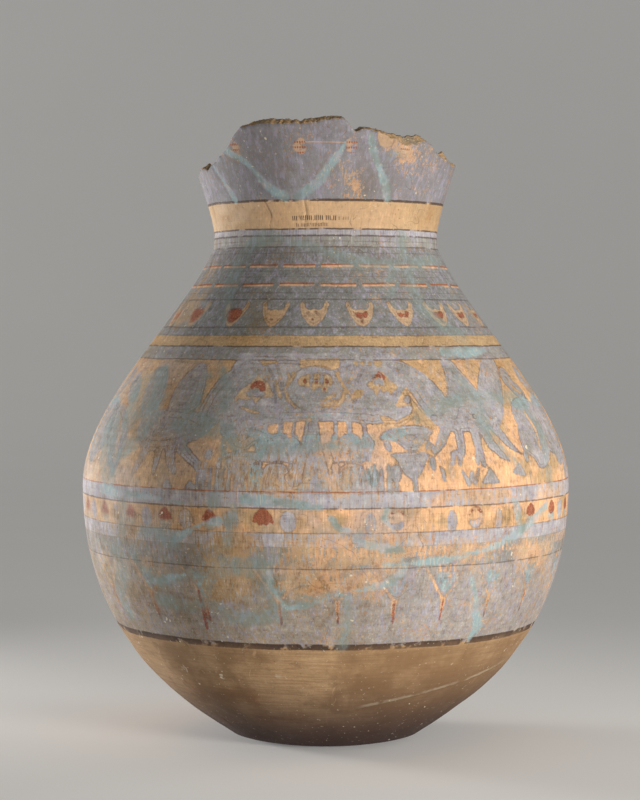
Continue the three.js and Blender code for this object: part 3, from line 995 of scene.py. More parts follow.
class Recipe:
    """Adds nodes to one shader tree, feeding each input from a number, a colour or another node."""

    def __init__(self, tree):
        self.tree = tree

    def node(self, kind, **settings):
        node = self.tree.nodes.new(kind)
        for name, value in settings.items():
            setattr(node, name, value)
        return node

    def feed(self, socket, source):
        if isinstance(source, bpy.types.NodeSocket):
            self.tree.links.new(source, socket)
        elif source is not None:
            size = len(socket.default_value) if hasattr(socket.default_value, "__len__") else 0
            if size == 4 and len(source) == 3:
                source = (*source, 1.0)
            socket.default_value = source

    def math(self, operation, a, b=None, c=None, clamp=False):
        node = self.node("ShaderNodeMath", operation=operation, use_clamp=clamp)
        for socket, source in zip(node.inputs, (a, b, c)):
            self.feed(socket, source)
        return node.outputs[0]

    def mix(self, share, a, b, mode="MIX"):
        node = self.node("ShaderNodeMix", data_type="RGBA", blend_type=mode)
        self.feed(node.inputs["Factor"], share)
        self.feed(node.inputs[6], a)
        self.feed(node.inputs[7], b)
        return node.outputs[2]

    def ease(self, value, low, high, start=0.0, end=1.0):
        """A soft step from start to end while the value goes from low to high."""
        node = self.node("ShaderNodeMapRange", interpolation_type="SMOOTHSTEP")
        for socket, source in zip(node.inputs, (value, low, high, start, end)):
            self.feed(socket, source)
        return node.outputs["Result"]

    def scaled(self, vector, x, y, z):
        node = self.node("ShaderNodeVectorMath", operation="MULTIPLY")
        self.feed(node.inputs[0], vector)
        node.inputs[1].default_value = (x, y, z)
        return node.outputs[0]

    def noise(self, vector, scale, detail=2.0, roughness=0.5):
        node = self.node("ShaderNodeTexNoise")
        self.feed(node.inputs["Vector"], vector)
        self.feed(node.inputs["Scale"], scale)
        node.inputs["Detail"].default_value = detail
        node.inputs["Roughness"].default_value = roughness
        return node.outputs["Fac"]

    def attribute(self, name):
        return self.node("ShaderNodeAttribute", attribute_name=name).outputs["Fac"]

    def group(self, tree, **inputs):
        node = self.node("ShaderNodeGroup", node_tree=tree)
        for name, source in inputs.items():
            self.feed(node.inputs[name.replace("_", " ").capitalize()], source)
        return node.outputs

    def bands(self, value, stops):
        """Flat bands, each from its own height up to the next."""
        result = stops[0][1]
        for height, shade in stops[1:]:
            result = self.mix(self.ease(value, height - 0.3, height + 0.3), result, shade)
        return result


def new_group(name, inputs, outputs):
    """An empty shader group with its sockets: each a name, a type and, for inputs, a value."""
    tree = bpy.data.node_groups.new(name, "ShaderNodeTree")
    for label, kind, value in inputs:
        socket = tree.interface.new_socket(label, in_out="INPUT", socket_type=kind)
        if value is not None:
            socket.default_value = value
    for label, kind in outputs:
        tree.interface.new_socket(label, in_out="OUTPUT", socket_type=kind)
    start, end = tree.nodes.new("NodeGroupInput"), tree.nodes.new("NodeGroupOutput")
    return tree, Recipe(tree), start.outputs, end.inputs


FLOAT, VECTOR = "NodeSocketFloat", "NodeSocketVector"


def waver_group():
    """How far a hand-held brush strays, in millimetres."""
    tree, make, given, result = new_group(
        "Hand waver", [("Vector", VECTOR, None), ("Reach", FLOAT, 1.0)], [("Offset", FLOAT)]
    )
    slow = make.math("SUBTRACT", make.noise(given["Vector"], 22.0, 2.0), 0.5)
    quick = make.math("SUBTRACT", make.noise(given["Vector"], 210.0, 2.0), 0.5)
    both = make.math("MULTIPLY_ADD", quick, 0.5, slow)
    make.feed(result["Offset"], make.math("MULTIPLY", both, make.math("MULTIPLY", given["Reach"], 2.0)))
    return tree


def line_group():
    """A thin painted ring at one height."""
    tree, make, given, result = new_group(
        "Painted line",
        [
            ("Height", FLOAT, 0.0), ("Centre", FLOAT, 0.0), ("Half width", FLOAT, 1.0),
            ("Strength", FLOAT, 1.0),
        ],
        [("Mask", FLOAT)],
    )
    off = make.math("ABSOLUTE", make.math("SUBTRACT", given["Height"], given["Centre"]))
    inside = make.math("SUBTRACT", given["Half width"], off)
    mask = make.ease(inside, -0.45, 0.45)
    make.feed(result["Mask"], make.math("MULTIPLY", mask, given["Strength"]))
    return tree


def shape_group():
    """Inside of a painted shape, from its distance, and its drawn edge."""
    tree, make, given, result = new_group(
        "Painted shape",
        [("Distance", FLOAT, 0.0), ("Waver", FLOAT, 0.0), ("Softness", FLOAT, 0.6)],
        [("Mask", FLOAT), ("Edge", FLOAT)],
    )
    moved = make.math("ADD", given["Distance"], given["Waver"])
    low = make.math("MULTIPLY", given["Softness"], -1.0)
    make.feed(result["Mask"], make.ease(moved, low, given["Softness"], 1.0, 0.0))
    off = make.math("ABSOLUTE", moved)
    make.feed(result["Edge"], make.ease(off, 1.2, 0.35))
    return tree


def streak_group():
    """Brush strokes that run up and down the wall, fine and broad, with wheel marks across them."""
    outputs = [("Up", FLOAT), ("Broad", FLOAT), ("Across", FLOAT)]
    tree, make, given, result = new_group("Brush strokes", [("Vector", VECTOR, None)], outputs)
    for name, around, upward, roughness in (
        ("Up", 620, 46, 0.62), ("Broad", 230, 24, 0.6), ("Across", 26, 560, 0.6)
    ):
        stretched = make.scaled(given["Vector"], around, around, upward)
        make.feed(result[name], make.noise(stretched, 1.0, 3.0, roughness))
    return tree


def grain_group():
    """Mottling, fine sand and the odd dark or light grit of fired clay."""
    tree, make, given, result = new_group(
        "Clay grain", [("Vector", VECTOR, None)], [
            ("Mottle", FLOAT), ("Sand", FLOAT), ("Grit", FLOAT), ("Pale grit", FLOAT)
        ]
    )
    make.feed(result["Mottle"], make.noise(given["Vector"], 34.0, 5.0, 0.62))
    make.feed(result["Sand"], make.noise(given["Vector"], 1300.0, 2.0, 0.6))
    make.feed(result["Grit"], make.ease(make.noise(given["Vector"], 380.0, 1.0), 0.70, 0.76))
    make.feed(result["Pale grit"], make.ease(make.noise(given["Vector"], 330.0, 1.0), 0.295, 0.25))
    return tree


def new_material(name):
    """A material, the recipe that adds its nodes, and its shader."""
    material = bpy.data.materials.new(name)
    material.use_nodes = True
    return material, Recipe(material.node_tree), material.node_tree.nodes["Principled BSDF"]


GROUPS = {
    "waver": waver_group, "line": line_group, "shape": shape_group, "streak": streak_group,
    "grain": grain_group,
}


def finish_clay(made, shade, rough, shine, relief, depth, strength):
    """Gives a material its colour, roughness, shine and fine bump, and returns it."""
    material, make, shader = made
    make.feed(shader.inputs["Base Color"], shade)
    make.feed(shader.inputs["Roughness"], rough)
    make.feed(shader.inputs["Specular IOR Level"], shine)
    bump = make.node("ShaderNodeBump")
    make.feed(bump.inputs["Distance"], depth)
    make.feed(bump.inputs["Strength"], strength)
    make.feed(bump.inputs["Height"], relief)
    make.feed(shader.inputs["Normal"], bump.outputs["Normal"])
    return material


def object_place(make):
    """Object coordinates, and the height in millimetres and angle in radians that follow from them."""
    place = make.node("ShaderNodeTexCoord").outputs["Object"]
    split = make.node("ShaderNodeSeparateXYZ")
    make.feed(split.inputs[0], place)
    height = make.math("MULTIPLY", split.outputs["Z"], 1000.0)
    turn = make.math("ARCTAN2", split.outputs["X"], make.math("MULTIPLY", split.outputs["Y"], -1.0))
    return place, height, turn


# Heights of the painted bands, from the bare clay up to the rim
CLAY_TOP, LILY_TOP, LOW_STRIP, PETAL_FOOT, PETAL_TOP = 122.6, 200.6, 222.0, 235.0, 258.2
PICTURE_FOOT, PICTURE_TOP, BUFF_FOOT, BUFF_TOP = 273.9, 397.2, 410.1, 420.6
HATCH_FOOT, HATCH_TOP, STRIP_FOOT, COLLAR_FOOT, COLLAR_TOP = 493.0, 509.2, 520.4, 527.0, 555.2
BLUE_BANDS = (
    (CLAY_TOP, PETAL_FOOT), (PETAL_TOP, PICTURE_FOOT), (PICTURE_TOP, BUFF_FOOT), (BUFF_TOP, COLLAR_FOOT),
    (COLLAR_TOP, 700.0),
)

# Framing lines: height, half width, colour name, strength
FRAMING_LINES = (
    (CLAY_TOP, 3.1, "brown", 1.0), (LILY_TOP, 0.6, "brown", 0.55), (PETAL_FOOT, 0.6, "brown", 0.45),
    (PETAL_TOP, 0.75, "brown", 0.65), (PICTURE_FOOT, 0.6, "rust", 0.8), (PICTURE_TOP, 0.55, "brown", 0.6),
    (BUFF_FOOT, 0.7, "brown", 0.8), (BUFF_TOP, 0.45, "brown", 0.4), (428.8, 0.8, "brown", 0.5),
    (456.4, 0.6, "brown", 0.55), (463.0, 0.35, "brown", 0.35), (471.8, 0.8, "rust", 0.9),
    (478.8, 0.35, "brown", 0.35), (484.6, 0.35, "brown", 0.3), (490.9, 0.7, "rust", 0.9),
    (503.0, 0.4, "brown", 0.4), (HATCH_TOP, 0.7, "brown", 0.6), (514.8, 0.4, "brown", 0.4),
    (STRIP_FOOT, 0.9, "brown", 0.75), (COLLAR_FOOT, 0.8, "brown", 0.85), (COLLAR_TOP, 1.25, "brown", 0.9),
    (611.0, 0.5, "orange", 0.5),
)


class WallPaint:
    """The painted outside, laid down in the order of a painter, a mender and time."""

    def __init__(self, paint, groups):
        self.groups = groups
        self.made = new_material("Painted pottery")
        self.make = make = self.made[1]
        self.colours = {name: tuple(getattr(paint, name)) for name in paint.__annotations__}
        self.place, self.height, self.turn = object_place(make)
        self.side = make.math("SINE", self.turn)
        self.slow = make.group(self.groups["waver"], vector=self.place, reach=1.0)["Offset"]
        self.fine = make.group(self.groups["waver"], vector=self.place, reach=1.5)["Offset"]
        crumbly = make.math("SUBTRACT", make.noise(self.place, 420.0, 3.0, 0.7), 0.5)
        self.rough = make.math("MULTIPLY_ADD", crumbly, 2.4, self.fine)
        self.strokes = make.group(self.groups["streak"], vector=self.place)
        self.grain = make.group(self.groups["grain"], vector=self.place)
        self.level = make.math("ADD", self.height, self.slow)

    def lay(self, mask, colour, amount=1.0):
        """Covers what is there with a colour, by name or as a value, where the mask says."""
        if isinstance(colour, str):
            colour = self.colours[colour]
        if amount != 1.0:
            mask = self.make.math("MULTIPLY", mask, amount)
        self.colour = self.make.mix(mask, self.colour, colour)

    def both(self, *masks):
        """Where all the masks meet."""
        total = masks[0]
        for mask in masks[1:]:
            total = self.make.math("MULTIPLY", total, mask)
        return total

    def shape(self, name, stray=1.0, softness=0.6):
        """A painted layer; its edges are crisp at the front and blurred on the worn left side."""
        wander = self.make.math("MULTIPLY", self.rough, stray)
        softness = self.make.ease(self.side, -0.52, -0.81, softness, softness + 3.0)
        distance = self.make.attribute(name)
        return self.make.group(self.groups["shape"], distance=distance, waver=wander, softness=softness)

    def band(self, low, high):
        """A mask from one painted height to another."""
        middle, half = (low + high) / 2, (high - low) / 2
        return self.make.group(self.groups["line"], height=self.level, centre=middle, half_width=half)["Mask"]

    def blot(self, scale, low, high, detail=3.0):
        """Irregular patches of a size that the scale sets."""
        return self.make.ease(self.make.noise(self.place, scale, detail, 0.62), low, high)

    def lay_bands(self):
        """Flat colours, each from its own height up to the next."""
        c, make = self.colours, self.make
        self.colour = make.bands(self.level, (
            (0, c["clay"]), (CLAY_TOP, c["dusty"]), (LILY_TOP, c["blue"]), (LOW_STRIP, c["pale_blue"]),
            (PETAL_FOOT, c["orange"]), (PETAL_TOP, c["pale_blue"]), (PICTURE_FOOT, c["orange"]),
            # The shoulder band's slate is partly painted shade of the upward-facing wall.
            (PICTURE_TOP, c["blue"]), (BUFF_FOOT, c["buff"]), (BUFF_TOP, c["slate"]),
            (HATCH_FOOT, c["deep_blue"]), (HATCH_TOP, c["blue"]), (STRIP_FOOT, c["pale_blue"]),
            (COLLAR_FOOT, c["buff"]), (COLLAR_TOP, c["neck_blue"]),
        ))
        self.is_blue = 0.0
        for low, high in BLUE_BANDS:
            self.is_blue = make.math("MAXIMUM", self.is_blue, self.band(low, high))
        self.lay(self.band(410.6, 420.4), "olive", 0.6)
        strokes = self.make.ease(self.strokes["Broad"], 0.44, 0.56)
        right = make.ease(self.side, -0.1, 0.34, 0.5, 0.8)
        brushed = self.both(self.band(123, LILY_TOP), make.math("MAXIMUM", strokes, right), right)
        self.lay(brushed, "pale_blue", 0.65)

    def lay_figures(self):
        """The blue figures with the buff and turquoise shapes on them."""
        make = self.make
        self.figures, self.buff_lines, self.reds = self.shape("blue"), self.shape("ground"), self.shape("red")
        self.outlines, self.faints = self.shape("outline", 0.5), self.shape("faint", 0.5)
        paler = make.math("MAXIMUM", self.blot(34.0, 0.36, 0.62), make.ease(self.height, 264, 258))
        shade = make.mix(paler, self.colours["blue"], self.colours["pale_blue"])
        self.lay(self.figures["Mask"], shade)
        self.is_blue = make.math("MAXIMUM", self.is_blue, self.figures["Mask"])
        pale = make.mix(make.ease(self.height, 150, 420), self.colours["orange"], self.colours["buff"])
        self.lay(self.both(self.buff_lines["Mask"], make.ease(self.height, 400, 430, 1.0, 0.75)), pale)
        self.is_blue = self.both(self.is_blue, make.math("SUBTRACT", 1.0, self.buff_lines["Mask"]))
        painted = self.both(self.shape("turquoise", 1.2, 0.9)["Mask"], self.blot(80.0, 0.34, 0.5))
        self.lay(painted, "turquoise", 0.8)

    def lay_hatching(self):
        """Fine upright strokes in the dark band, and the darker bars that cross the panels."""
        make = self.make
        comb = make.ease(make.math("SINE", make.math("MULTIPLY", self.turn, 230.0)), 0.2, 0.9)
        self.lay(self.both(comb, self.band(493, 509), self.blot(160.0, 0.40, 0.56, 2.0)), "brown", 0.28)
        share = make.math("FRACT", make.math("MULTIPLY_ADD", self.turn, 21.0 / math.tau, 0.2))
        self.bar_gap = make.math("ABSOLUTE", make.math("SUBTRACT", share, 0.5))
        bar = make.ease(self.bar_gap, 0.41, 0.45)
        self.lay(self.both(bar, self.band(457, 509)), "deep_blue", 0.25)

    def lay_tints(self):
        """Cooler, warmer and dirtier strokes within each colour, and a duller, greyer left side that is
        partly painted cool shade.
        """
        make, strokes = self.make, self.strokes
        ground = make.math("SUBTRACT", 1.0, self.is_blue)
        ends = make.ease(make.math("ABSOLUTE", self.side), 0.4, 0.85)
        self.lay(self.both(ends, self.band(COLLAR_FOOT, COLLAR_TOP)), "olive", 0.42)
        picture = self.both(ground, make.ease(self.level, 118.0, 124.0), make.ease(self.level, 404.0, 400.0))
        # Towards the left the ground is painted duller and greyer: partly its own tone, partly painted cool
        # shade on the side away from the key light.
        left = make.ease(self.side, 0.1, -0.68)
        dull = make.math("MAXIMUM", self.blot(26.0, 0.46, 0.64, 4.0), make.math("MULTIPLY", left, 0.75))
        upper = self.both(make.ease(self.height, 335.0, 385.0), self.blot(30.0, 0.30, 0.55))
        dull = make.math("MAXIMUM", dull, make.math("MULTIPLY", upper, 0.85))
        self.lay(self.both(picture, dull), "olive", 0.75)
        broad = make.ease(strokes["Broad"], 0.50, 0.62, 0.0, 0.6)
        grey = make.math("MAXIMUM", broad, make.math("MULTIPLY", left, 0.55))
        middle = make.ease(make.math("ABSOLUTE", self.turn), 0.42, 0.20, 0.0, 0.75)
        grey = make.math("MAXIMUM", grey, self.both(middle, make.ease(self.height, 345, 320)))
        self.lay(self.both(picture, grey, self.blot(18.0, 0.36, 0.60, 4.0)), "pale_blue", 0.6)
        self.lay(self.both(self.is_blue, make.ease(strokes["Broad"], 0.50, 0.62)), "violet", 0.6)
        self.lay(self.both(self.is_blue, self.blot(30.0, 0.50, 0.64, 4.0)), "deep_blue", 0.38)
        less_above = make.ease(self.height, 430, 390, 0.15, 1.0)
        warm = self.both(self.is_blue, make.ease(strokes["Up"], 0.56, 0.66), less_above)
        self.lay(warm, "orange", 0.42)
        self.lay(self.both(self.is_blue, make.ease(strokes["Up"], 0.44, 0.34)), "turquoise", 0.2)

    def lay_wear(self):
        """Paint rubbed down to the orange ground, along the brush strokes; the bared ground is olive towards
        the left, partly painted cool shade.
        """
        make, grain, strokes = self.make, self.grain, self.strokes
        worn = make.ease(make.attribute("worn"), 16.0, -8.0)
        patchy = make.noise(self.place, 24.0, 4.0, 0.65)
        ready = make.math("MULTIPLY_ADD", strokes["Up"], 0.5, make.math("MULTIPLY", strokes["Across"], 0.2))
        ready = make.math("MULTIPLY_ADD", patchy, 0.42, ready)
        ready = make.math("MULTIPLY_ADD", grain["Sand"], 0.19, ready)
        ready = make.math("MULTIPLY_ADD", worn, 0.125, ready)
        low_body = make.ease(self.height, 250.0, 215.0, 0.0, 0.022)
        ready = make.math("ADD", ready, low_body)
        self.bare = self.both(make.ease(ready, 0.705, 0.80), self.is_blue)
        under = make.mix(self.blot(50.0, 0.4, 0.62), self.colours["orange"], self.colours["buff"])
        # Towards the left the bared ground turns olive: partly its own tone, partly painted cool shade on the
        # side away from the key light.
        under = make.mix(make.ease(self.side, 0.12, -0.48, 0.0, 0.75), under, self.colours["olive"])
        self.lay(self.bare, under, 0.8)
        comb = make.math(
            "SINE", make.math("MULTIPLY_ADD", self.turn, 300.0, make.math("MULTIPLY", self.fine, 1.6))
        )
        right = make.ease(self.side, -0.22, -0.12)
        comb = self.both(make.ease(comb, -0.1, 0.6), self.blot(40.0, 0.42, 0.54), self.band(212, 221), right)
        self.lay(comb, "orange", 0.7)
        # Stains, and a darker veil over the lower wall below about 300 mm that deepens towards the left side.
        stain = make.ease(make.attribute("stain"), 20.0, -25.0)
        low_wall = self.both(make.ease(self.height, 300, 190, 0, 0.62), make.ease(self.height, 110.0, 130.0))
        low_wall = self.both(low_wall, make.ease(self.side, 0.48, -0.2, 0.3, 1.0))
        veil = make.ease(self.grain["Mottle"], 0.40, 0.60, 0.25, 1.0)
        veil = self.both(veil, make.math("MAXIMUM", make.math("MAXIMUM", stain, low_wall), 0.2))
        tint = make.mix(make.ease(self.height, 126.0, 116.0), (0.80, 0.68, 0.50), (0.62, 0.47, 0.36))
        self.lay(veil, make.mix(1.0, self.colour, tint, "MULTIPLY"), 0.85)

    def lay_lines(self):
        """Red shapes, outlines of the figures, and the framing lines between the bands."""
        make = self.make
        kept = self.both(self.blot(40.0, 0.34, 0.60), make.ease(self.height, 250, 300, 0.55, 1.0))
        self.lay(self.both(self.reds["Mask"], make.ease(self.grain["Sand"], 0.2, 0.5)), "red", 0.9)
        below_band = make.ease(self.level, 397.5, 396.5, 0.0, 0.7)
        edges = make.math("MAXIMUM", self.both(self.figures["Edge"], below_band), self.outlines["Edge"])
        edges = make.math("MAXIMUM", edges, make.math("MULTIPLY", self.faints["Edge"], 0.45))
        edges = make.math("MAXIMUM", edges, make.math("MULTIPLY", self.reds["Edge"], 0.5))
        edges = make.math("MAXIMUM", edges, make.math("MULTIPLY", self.buff_lines["Edge"], 0.45))
        edges = self.both(edges, make.ease(self.side, -0.81, -0.565, 0.35, 1.0))
        self.lay(self.both(edges, kept), "brown", 0.72)
        self.lay_inner_lines(kept)
        whole = make.ease(self.bar_gap, 0.44, 0.41)
        faint = self.blot(60.0, 0.34, 0.46)
        front = make.ease(make.math("ABSOLUTE", self.turn), 0.22, 0.17)
        for centre, half, shade, strength in FRAMING_LINES:
            level = {"height": self.level, "centre": centre, "half_width": half, "strength": strength}
            mask = make.group(self.groups["line"], **level)["Mask"]
            if shade == "rust" and centre > 400:
                glow = self.band(centre - 2.6, centre - 0.4)
                self.lay(self.both(glow, whole, self.blot(30.0, 0.30, 0.50)), "orange", 0.7)
                mask = self.both(mask, whole)
            elif shade == "orange":
                mask = self.both(mask, front)
            else:
                mask = self.both(mask, faint)
            self.lay(mask, shade)

    def lay_inner_lines(self, kept):
        """Fine lines drawn inside the figures, along their outlines."""
        make = self.make
        depth = make.math("ADD", make.attribute("blue"), make.math("MULTIPLY", self.fine, 1.5))
        beat = make.math(
            "ABSOLUTE", make.math("SUBTRACT", make.math("FRACT", make.math("DIVIDE", depth, 6.5)), 0.5)
        )
        line = self.both(
            make.ease(beat, 0.13, 0.05), make.ease(depth, -2.2, -3.2), make.ease(depth, -17.0, -14.0)
        )
        line = self.both(line, kept, self.blot(24.0, 0.42, 0.58))
        self.lay(line, "brown", 0.38)
        glint = self.both(
            make.ease(beat, 0.36, 0.44), make.ease(depth, -2.2, -3.2), self.blot(30.0, 0.48, 0.60)
        )
        self.lay(glint, "pale_blue", 0.35)

    def lay_dots(self):
        """Small groups of dots under the rim, on a patch where the orange shows through."""
        make = self.make
        group = self.shape("dots", 1.5, 1.2)["Mask"]
        self.lay(self.both(group, self.blot(120.0, 0.42, 0.54)), "orange", 0.55)
        across = make.math("FRACT", make.math("MULTIPLY", self.turn, 360 / math.tau))
        up = make.math("FRACT", make.math("DIVIDE", self.level, 5.2))
        aside = make.math("MULTIPLY", make.math("SUBTRACT", across, 0.5), 2.4)
        above = make.math("MULTIPLY", make.math("SUBTRACT", up, 0.5), 4.2)
        off = make.math("SQRT", make.math("ADD", self.both(aside, aside), self.both(above, above)))
        self.lay(self.both(make.ease(off, 1.05, 0.7), group), "rust", 0.85)

    def lay_ink(self):
        """Two rows of small plain strokes on the buff band."""
        make = self.make
        jitter = make.math("MULTIPLY", make.noise(self.place, 90.0, 1.0), 0.5)
        for low, high, left, right, pitch, strength in (
            (535.4, 540.0, -0.30, 0.09, 1.9, 1.0), (529.2, 532.6, -0.26, 0.02, 1.6, 0.8),
            (536.0, 539.0, 0.10, 0.22, 2.2, 0.5),
        ):
            row = self.band(low, high)
            inside = self.both(
                make.ease(self.turn, left, left + 0.005), make.ease(self.turn, right, right - 0.005)
            )
            beat = make.math("FRACT", make.math("MULTIPLY_ADD", self.turn, 120.0 / pitch, jitter))
            stroke = make.ease(make.math("ABSOLUTE", make.math("SUBTRACT", beat, 0.5)), 0.26, 0.18)
            gaps = make.ease(make.noise(make.scaled(self.place, 240.0, 240.0, 20.0), 1.0, 1.0), 0.36, 0.41)
            self.lay(self.both(row, inside, stroke, gaps), "ink", strength)

    def lay_texture(self):
        """Brush strokes, wheel marks and mottling over the whole wall."""
        make, strokes = self.make, self.strokes
        tone = make.math("MULTIPLY_ADD", strokes["Up"], 0.45, make.math("MULTIPLY", strokes["Across"], 0.15))
        tone = make.math("MULTIPLY_ADD", make.noise(self.place, 130.0, 4.0, 0.7), 0.4, tone)
        painted = self.both(
            make.ease(self.level, 118.0, 124.0, 0.4, 1.0), make.ease(self.height, 524.0, 528.0, 1.0, 0.5)
        )
        darker = make.mix(1.0, self.colour, (0.50, 0.48, 0.48), "MULTIPLY")
        self.lay(self.both(make.ease(tone, 0.50, 0.62), painted), darker, 0.75)
        lighter = make.mix(1.0, self.colour, (1.5, 1.46, 1.40), "MULTIPLY")
        self.lay(self.both(make.ease(tone, 0.49, 0.38), painted), lighter, 0.75)
        cloudy = make.mix(1.0, self.colour, (0.72, 0.70, 0.68), "MULTIPLY")
        self.lay(self.blot(9.0, 0.42, 0.62, 4.0), cloudy, 0.5)
        hair = make.math("ABSOLUTE", make.math("SUBTRACT", make.noise(self.place, 17.0, 2.0, 0.4), 0.5))
        hair = self.both(make.ease(hair, 0.0022, 0.0008), self.blot(14.0, 0.5, 0.56))
        self.lay(hair, "brown", 0.4)

    def lay_repairs(self):
        """The film of old glue, the repair fills over it, and the joins left open."""
        make, c = self.make, self.colours
        wander = make.group(self.groups["waver"], vector=self.place, reach=5.0)["Offset"]
        on_clay = make.ease(self.level, 124.0, 118.0)
        on_neck = make.ease(self.height, 524.0, 540.0)
        thinner = self.both(
            make.math("SUBTRACT", 1.0, on_clay), make.math("MULTIPLY_ADD", on_neck, -1.6, 0.8)
        )
        fill_edge = make.math(
            "ADD", self.both(wander, make.math("MULTIPLY_ADD", on_clay, -0.75, 1.0)), thinner
        )
        film = make.ease(
            make.math("ADD", make.attribute("smear"), make.math("MULTIPLY", wander, 1.6)), 5.0, -4.0
        )
        film = self.both(film, make.ease(make.noise(self.place, 42.0, 4.0, 0.7), 0.34, 0.62, 0.25, 0.9))
        self.lay(film, "teal", 0.7)
        streak = make.ease(self.strokes["Broad"], 0.48, 0.62)
        self.lay(self.both(film, streak), "turquoise", 0.35)
        fill = make.group(
            self.groups["shape"], distance=make.attribute("fill"), waver=fill_edge, softness=1.6
        )["Mask"]
        patchy = make.ease(make.noise(self.place, 55.0, 4.0, 0.7), 0.32, 0.58, 0.45, 0.9)
        self.fill = self.both(fill, make.math("MAXIMUM", patchy, make.math("MULTIPLY", on_neck, 0.65)))
        shade = make.mix(self.blot(60.0, 0.46, 0.70), c["turquoise"], c["pale_blue"])
        shade = make.mix(make.ease(self.strokes["Up"], 0.52, 0.62, 0.0, 0.35), shade, c["plaster"])
        shade = make.mix(self.blot(26.0, 0.50, 0.64, 4.0), shade, c["teal"])
        shade = make.mix(make.math("MAXIMUM", on_clay, self.band(528, 554)), shade, c["plaster"])
        self.lay(self.fill, shade)
        join = make.ease(
            make.math("ADD", make.attribute("join"), make.math("MULTIPLY", self.fine, 0.6)), 1.4, 0.3
        )
        self.lay(join, "brown", 0.4)

    def lay_dirt(self):
        """Stains, scratches and crumbs, mostly on the bare clay, and painted shade that darkens the foot."""
        make, grain = self.make, self.grain
        low = make.ease(self.height, 128.0, 112.0)
        self.lay(self.both(self.blot(7.0, 0.44, 0.60, 5.0), low), "deep_clay", 0.8)
        self.lay(self.both(self.blot(20.0, 0.48, 0.70, 5.0), low), "buff", 0.35)
        self.lay(self.both(self.blot(60.0, 0.58, 0.70, 4.0), low), "deep_clay", 0.45)
        self.lay_clay_joint()
        scratch = make.math("ABSOLUTE", make.math("SUBTRACT", make.noise(self.place, 8.0, 3.0, 0.55), 0.5))
        scratch = self.both(make.ease(scratch, 0.0035, 0.0010), self.blot(20.0, 0.46, 0.54), low)
        self.lay(scratch, "buff", 0.55)
        self.lay(self.both(make.ease(self.strokes["Across"], 0.44, 0.60), low), "deep_clay", 0.35)
        shaded = self.both(make.ease(self.side, 0.2, 0.7), make.ease(self.height, 119.0, 117.0))
        self.lay(shaded, "deep_clay", 0.3)
        # Painted shade: the wall darkens to near black towards the foot, where little light reaches.
        self.lay(make.ease(self.height, 104.0, 9.0, 0.0, 1.0), (0.050, 0.027, 0.022))
        specks = self.both(self.blot(150.0, 0.70, 0.74, 2.0), self.blot(9.0, 0.50, 0.58, 1.0))
        self.lay(specks, "plaster", 0.8)
        self.lay(grain["Grit"], "deep_clay", 0.5)
        self.lay(grain["Pale grit"], "plaster", 0.3)

    def lay_clay_joint(self):
        """A pale crack that climbs to the right over the bare clay, and plaster crumbs on the left."""
        make = self.make
        climb = make.math("MULTIPLY_ADD", self.turn, 32.7, 49.7)
        stray = make.math("MULTIPLY_ADD", self.fine, 1.2, make.math("SUBTRACT", self.height, climb))
        along = self.both(make.ease(self.turn, 0.16, 0.24), make.ease(self.turn, 1.25, 1.05))
        patchy = self.blot(50.0, 0.36, 0.52)
        pale = make.ease(make.math("ABSOLUTE", stray), 2.6, 0.8)
        self.lay(self.both(pale, along, patchy), "plaster", 0.5)
        under = make.ease(make.math("ABSOLUTE", make.math("ADD", stray, 2.2)), 1.2, 0.3)
        self.lay(self.both(under, along), "deep_clay", 0.8)
        corner = self.both(make.ease(self.turn, -0.85, -0.7), make.ease(self.turn, -0.15, -0.35))
        corner = self.both(corner, make.ease(self.height, 80.0, 88.0), make.ease(self.height, 112.0, 106.0))
        self.lay(self.both(self.blot(75.0, 0.62, 0.65, 3.0), corner), "plaster", 0.85)

    def finish(self):
        make, grain = self.make, self.grain
        rough = make.ease(grain["Mottle"], 0.3, 0.7, 0.66, 0.8)
        rough = make.math("MULTIPLY_ADD", self.is_blue, 0.06, rough)
        relief = make.math("MULTIPLY", self.strokes["Across"], 0.3)
        for source, depth in (
            (grain["Sand"], 0.35), (grain["Grit"], -0.8), (self.bare, -0.35), (self.fill, 0.4)
        ):
            relief = make.math("MULTIPLY_ADD", source, depth, relief)
        return finish_clay(self.made, self.colour, rough, 0.28, relief, 0.0005, 0.55)


def painted_pottery(paint, groups):
    wall = WallPaint(paint, groups)
    for lay in (
        wall.lay_bands, wall.lay_figures, wall.lay_hatching, wall.lay_tints, wall.lay_wear, wall.lay_lines,
        wall.lay_dots, wall.lay_ink, wall.lay_texture, wall.lay_repairs, wall.lay_dirt,
    ):
        lay()
    return wall.finish()


def broken_clay(paint, groups):
    """The crumbly break of the rim, with its unevenly fired core."""
    made = new_material("Broken clay")
    make = made[1]
    place = make.node("ShaderNodeTexCoord").outputs["Object"]
    grain = make.group(groups["grain"], vector=place)
    crumbs = make.noise(place, 420.0, 4.0, 0.7)
    core = make.ease(make.noise(place, 60.0, 3.0), 0.4, 0.62)
    shade = make.mix(core, tuple(paint.core), tuple(paint.grey_core))
    shade = make.mix(make.ease(crumbs, 0.52, 0.66), shade, tuple(paint.buff))
    shade = make.mix(make.ease(crumbs, 0.42, 0.32, 0.0, 0.55), shade, tuple(paint.brown))
    shade = make.mix(make.math("MULTIPLY", grain["Pale grit"], 0.7), shade, tuple(paint.plaster))
    return finish_clay(made, shade, 0.92, 0.2, crumbs, 0.0022, 0.9)


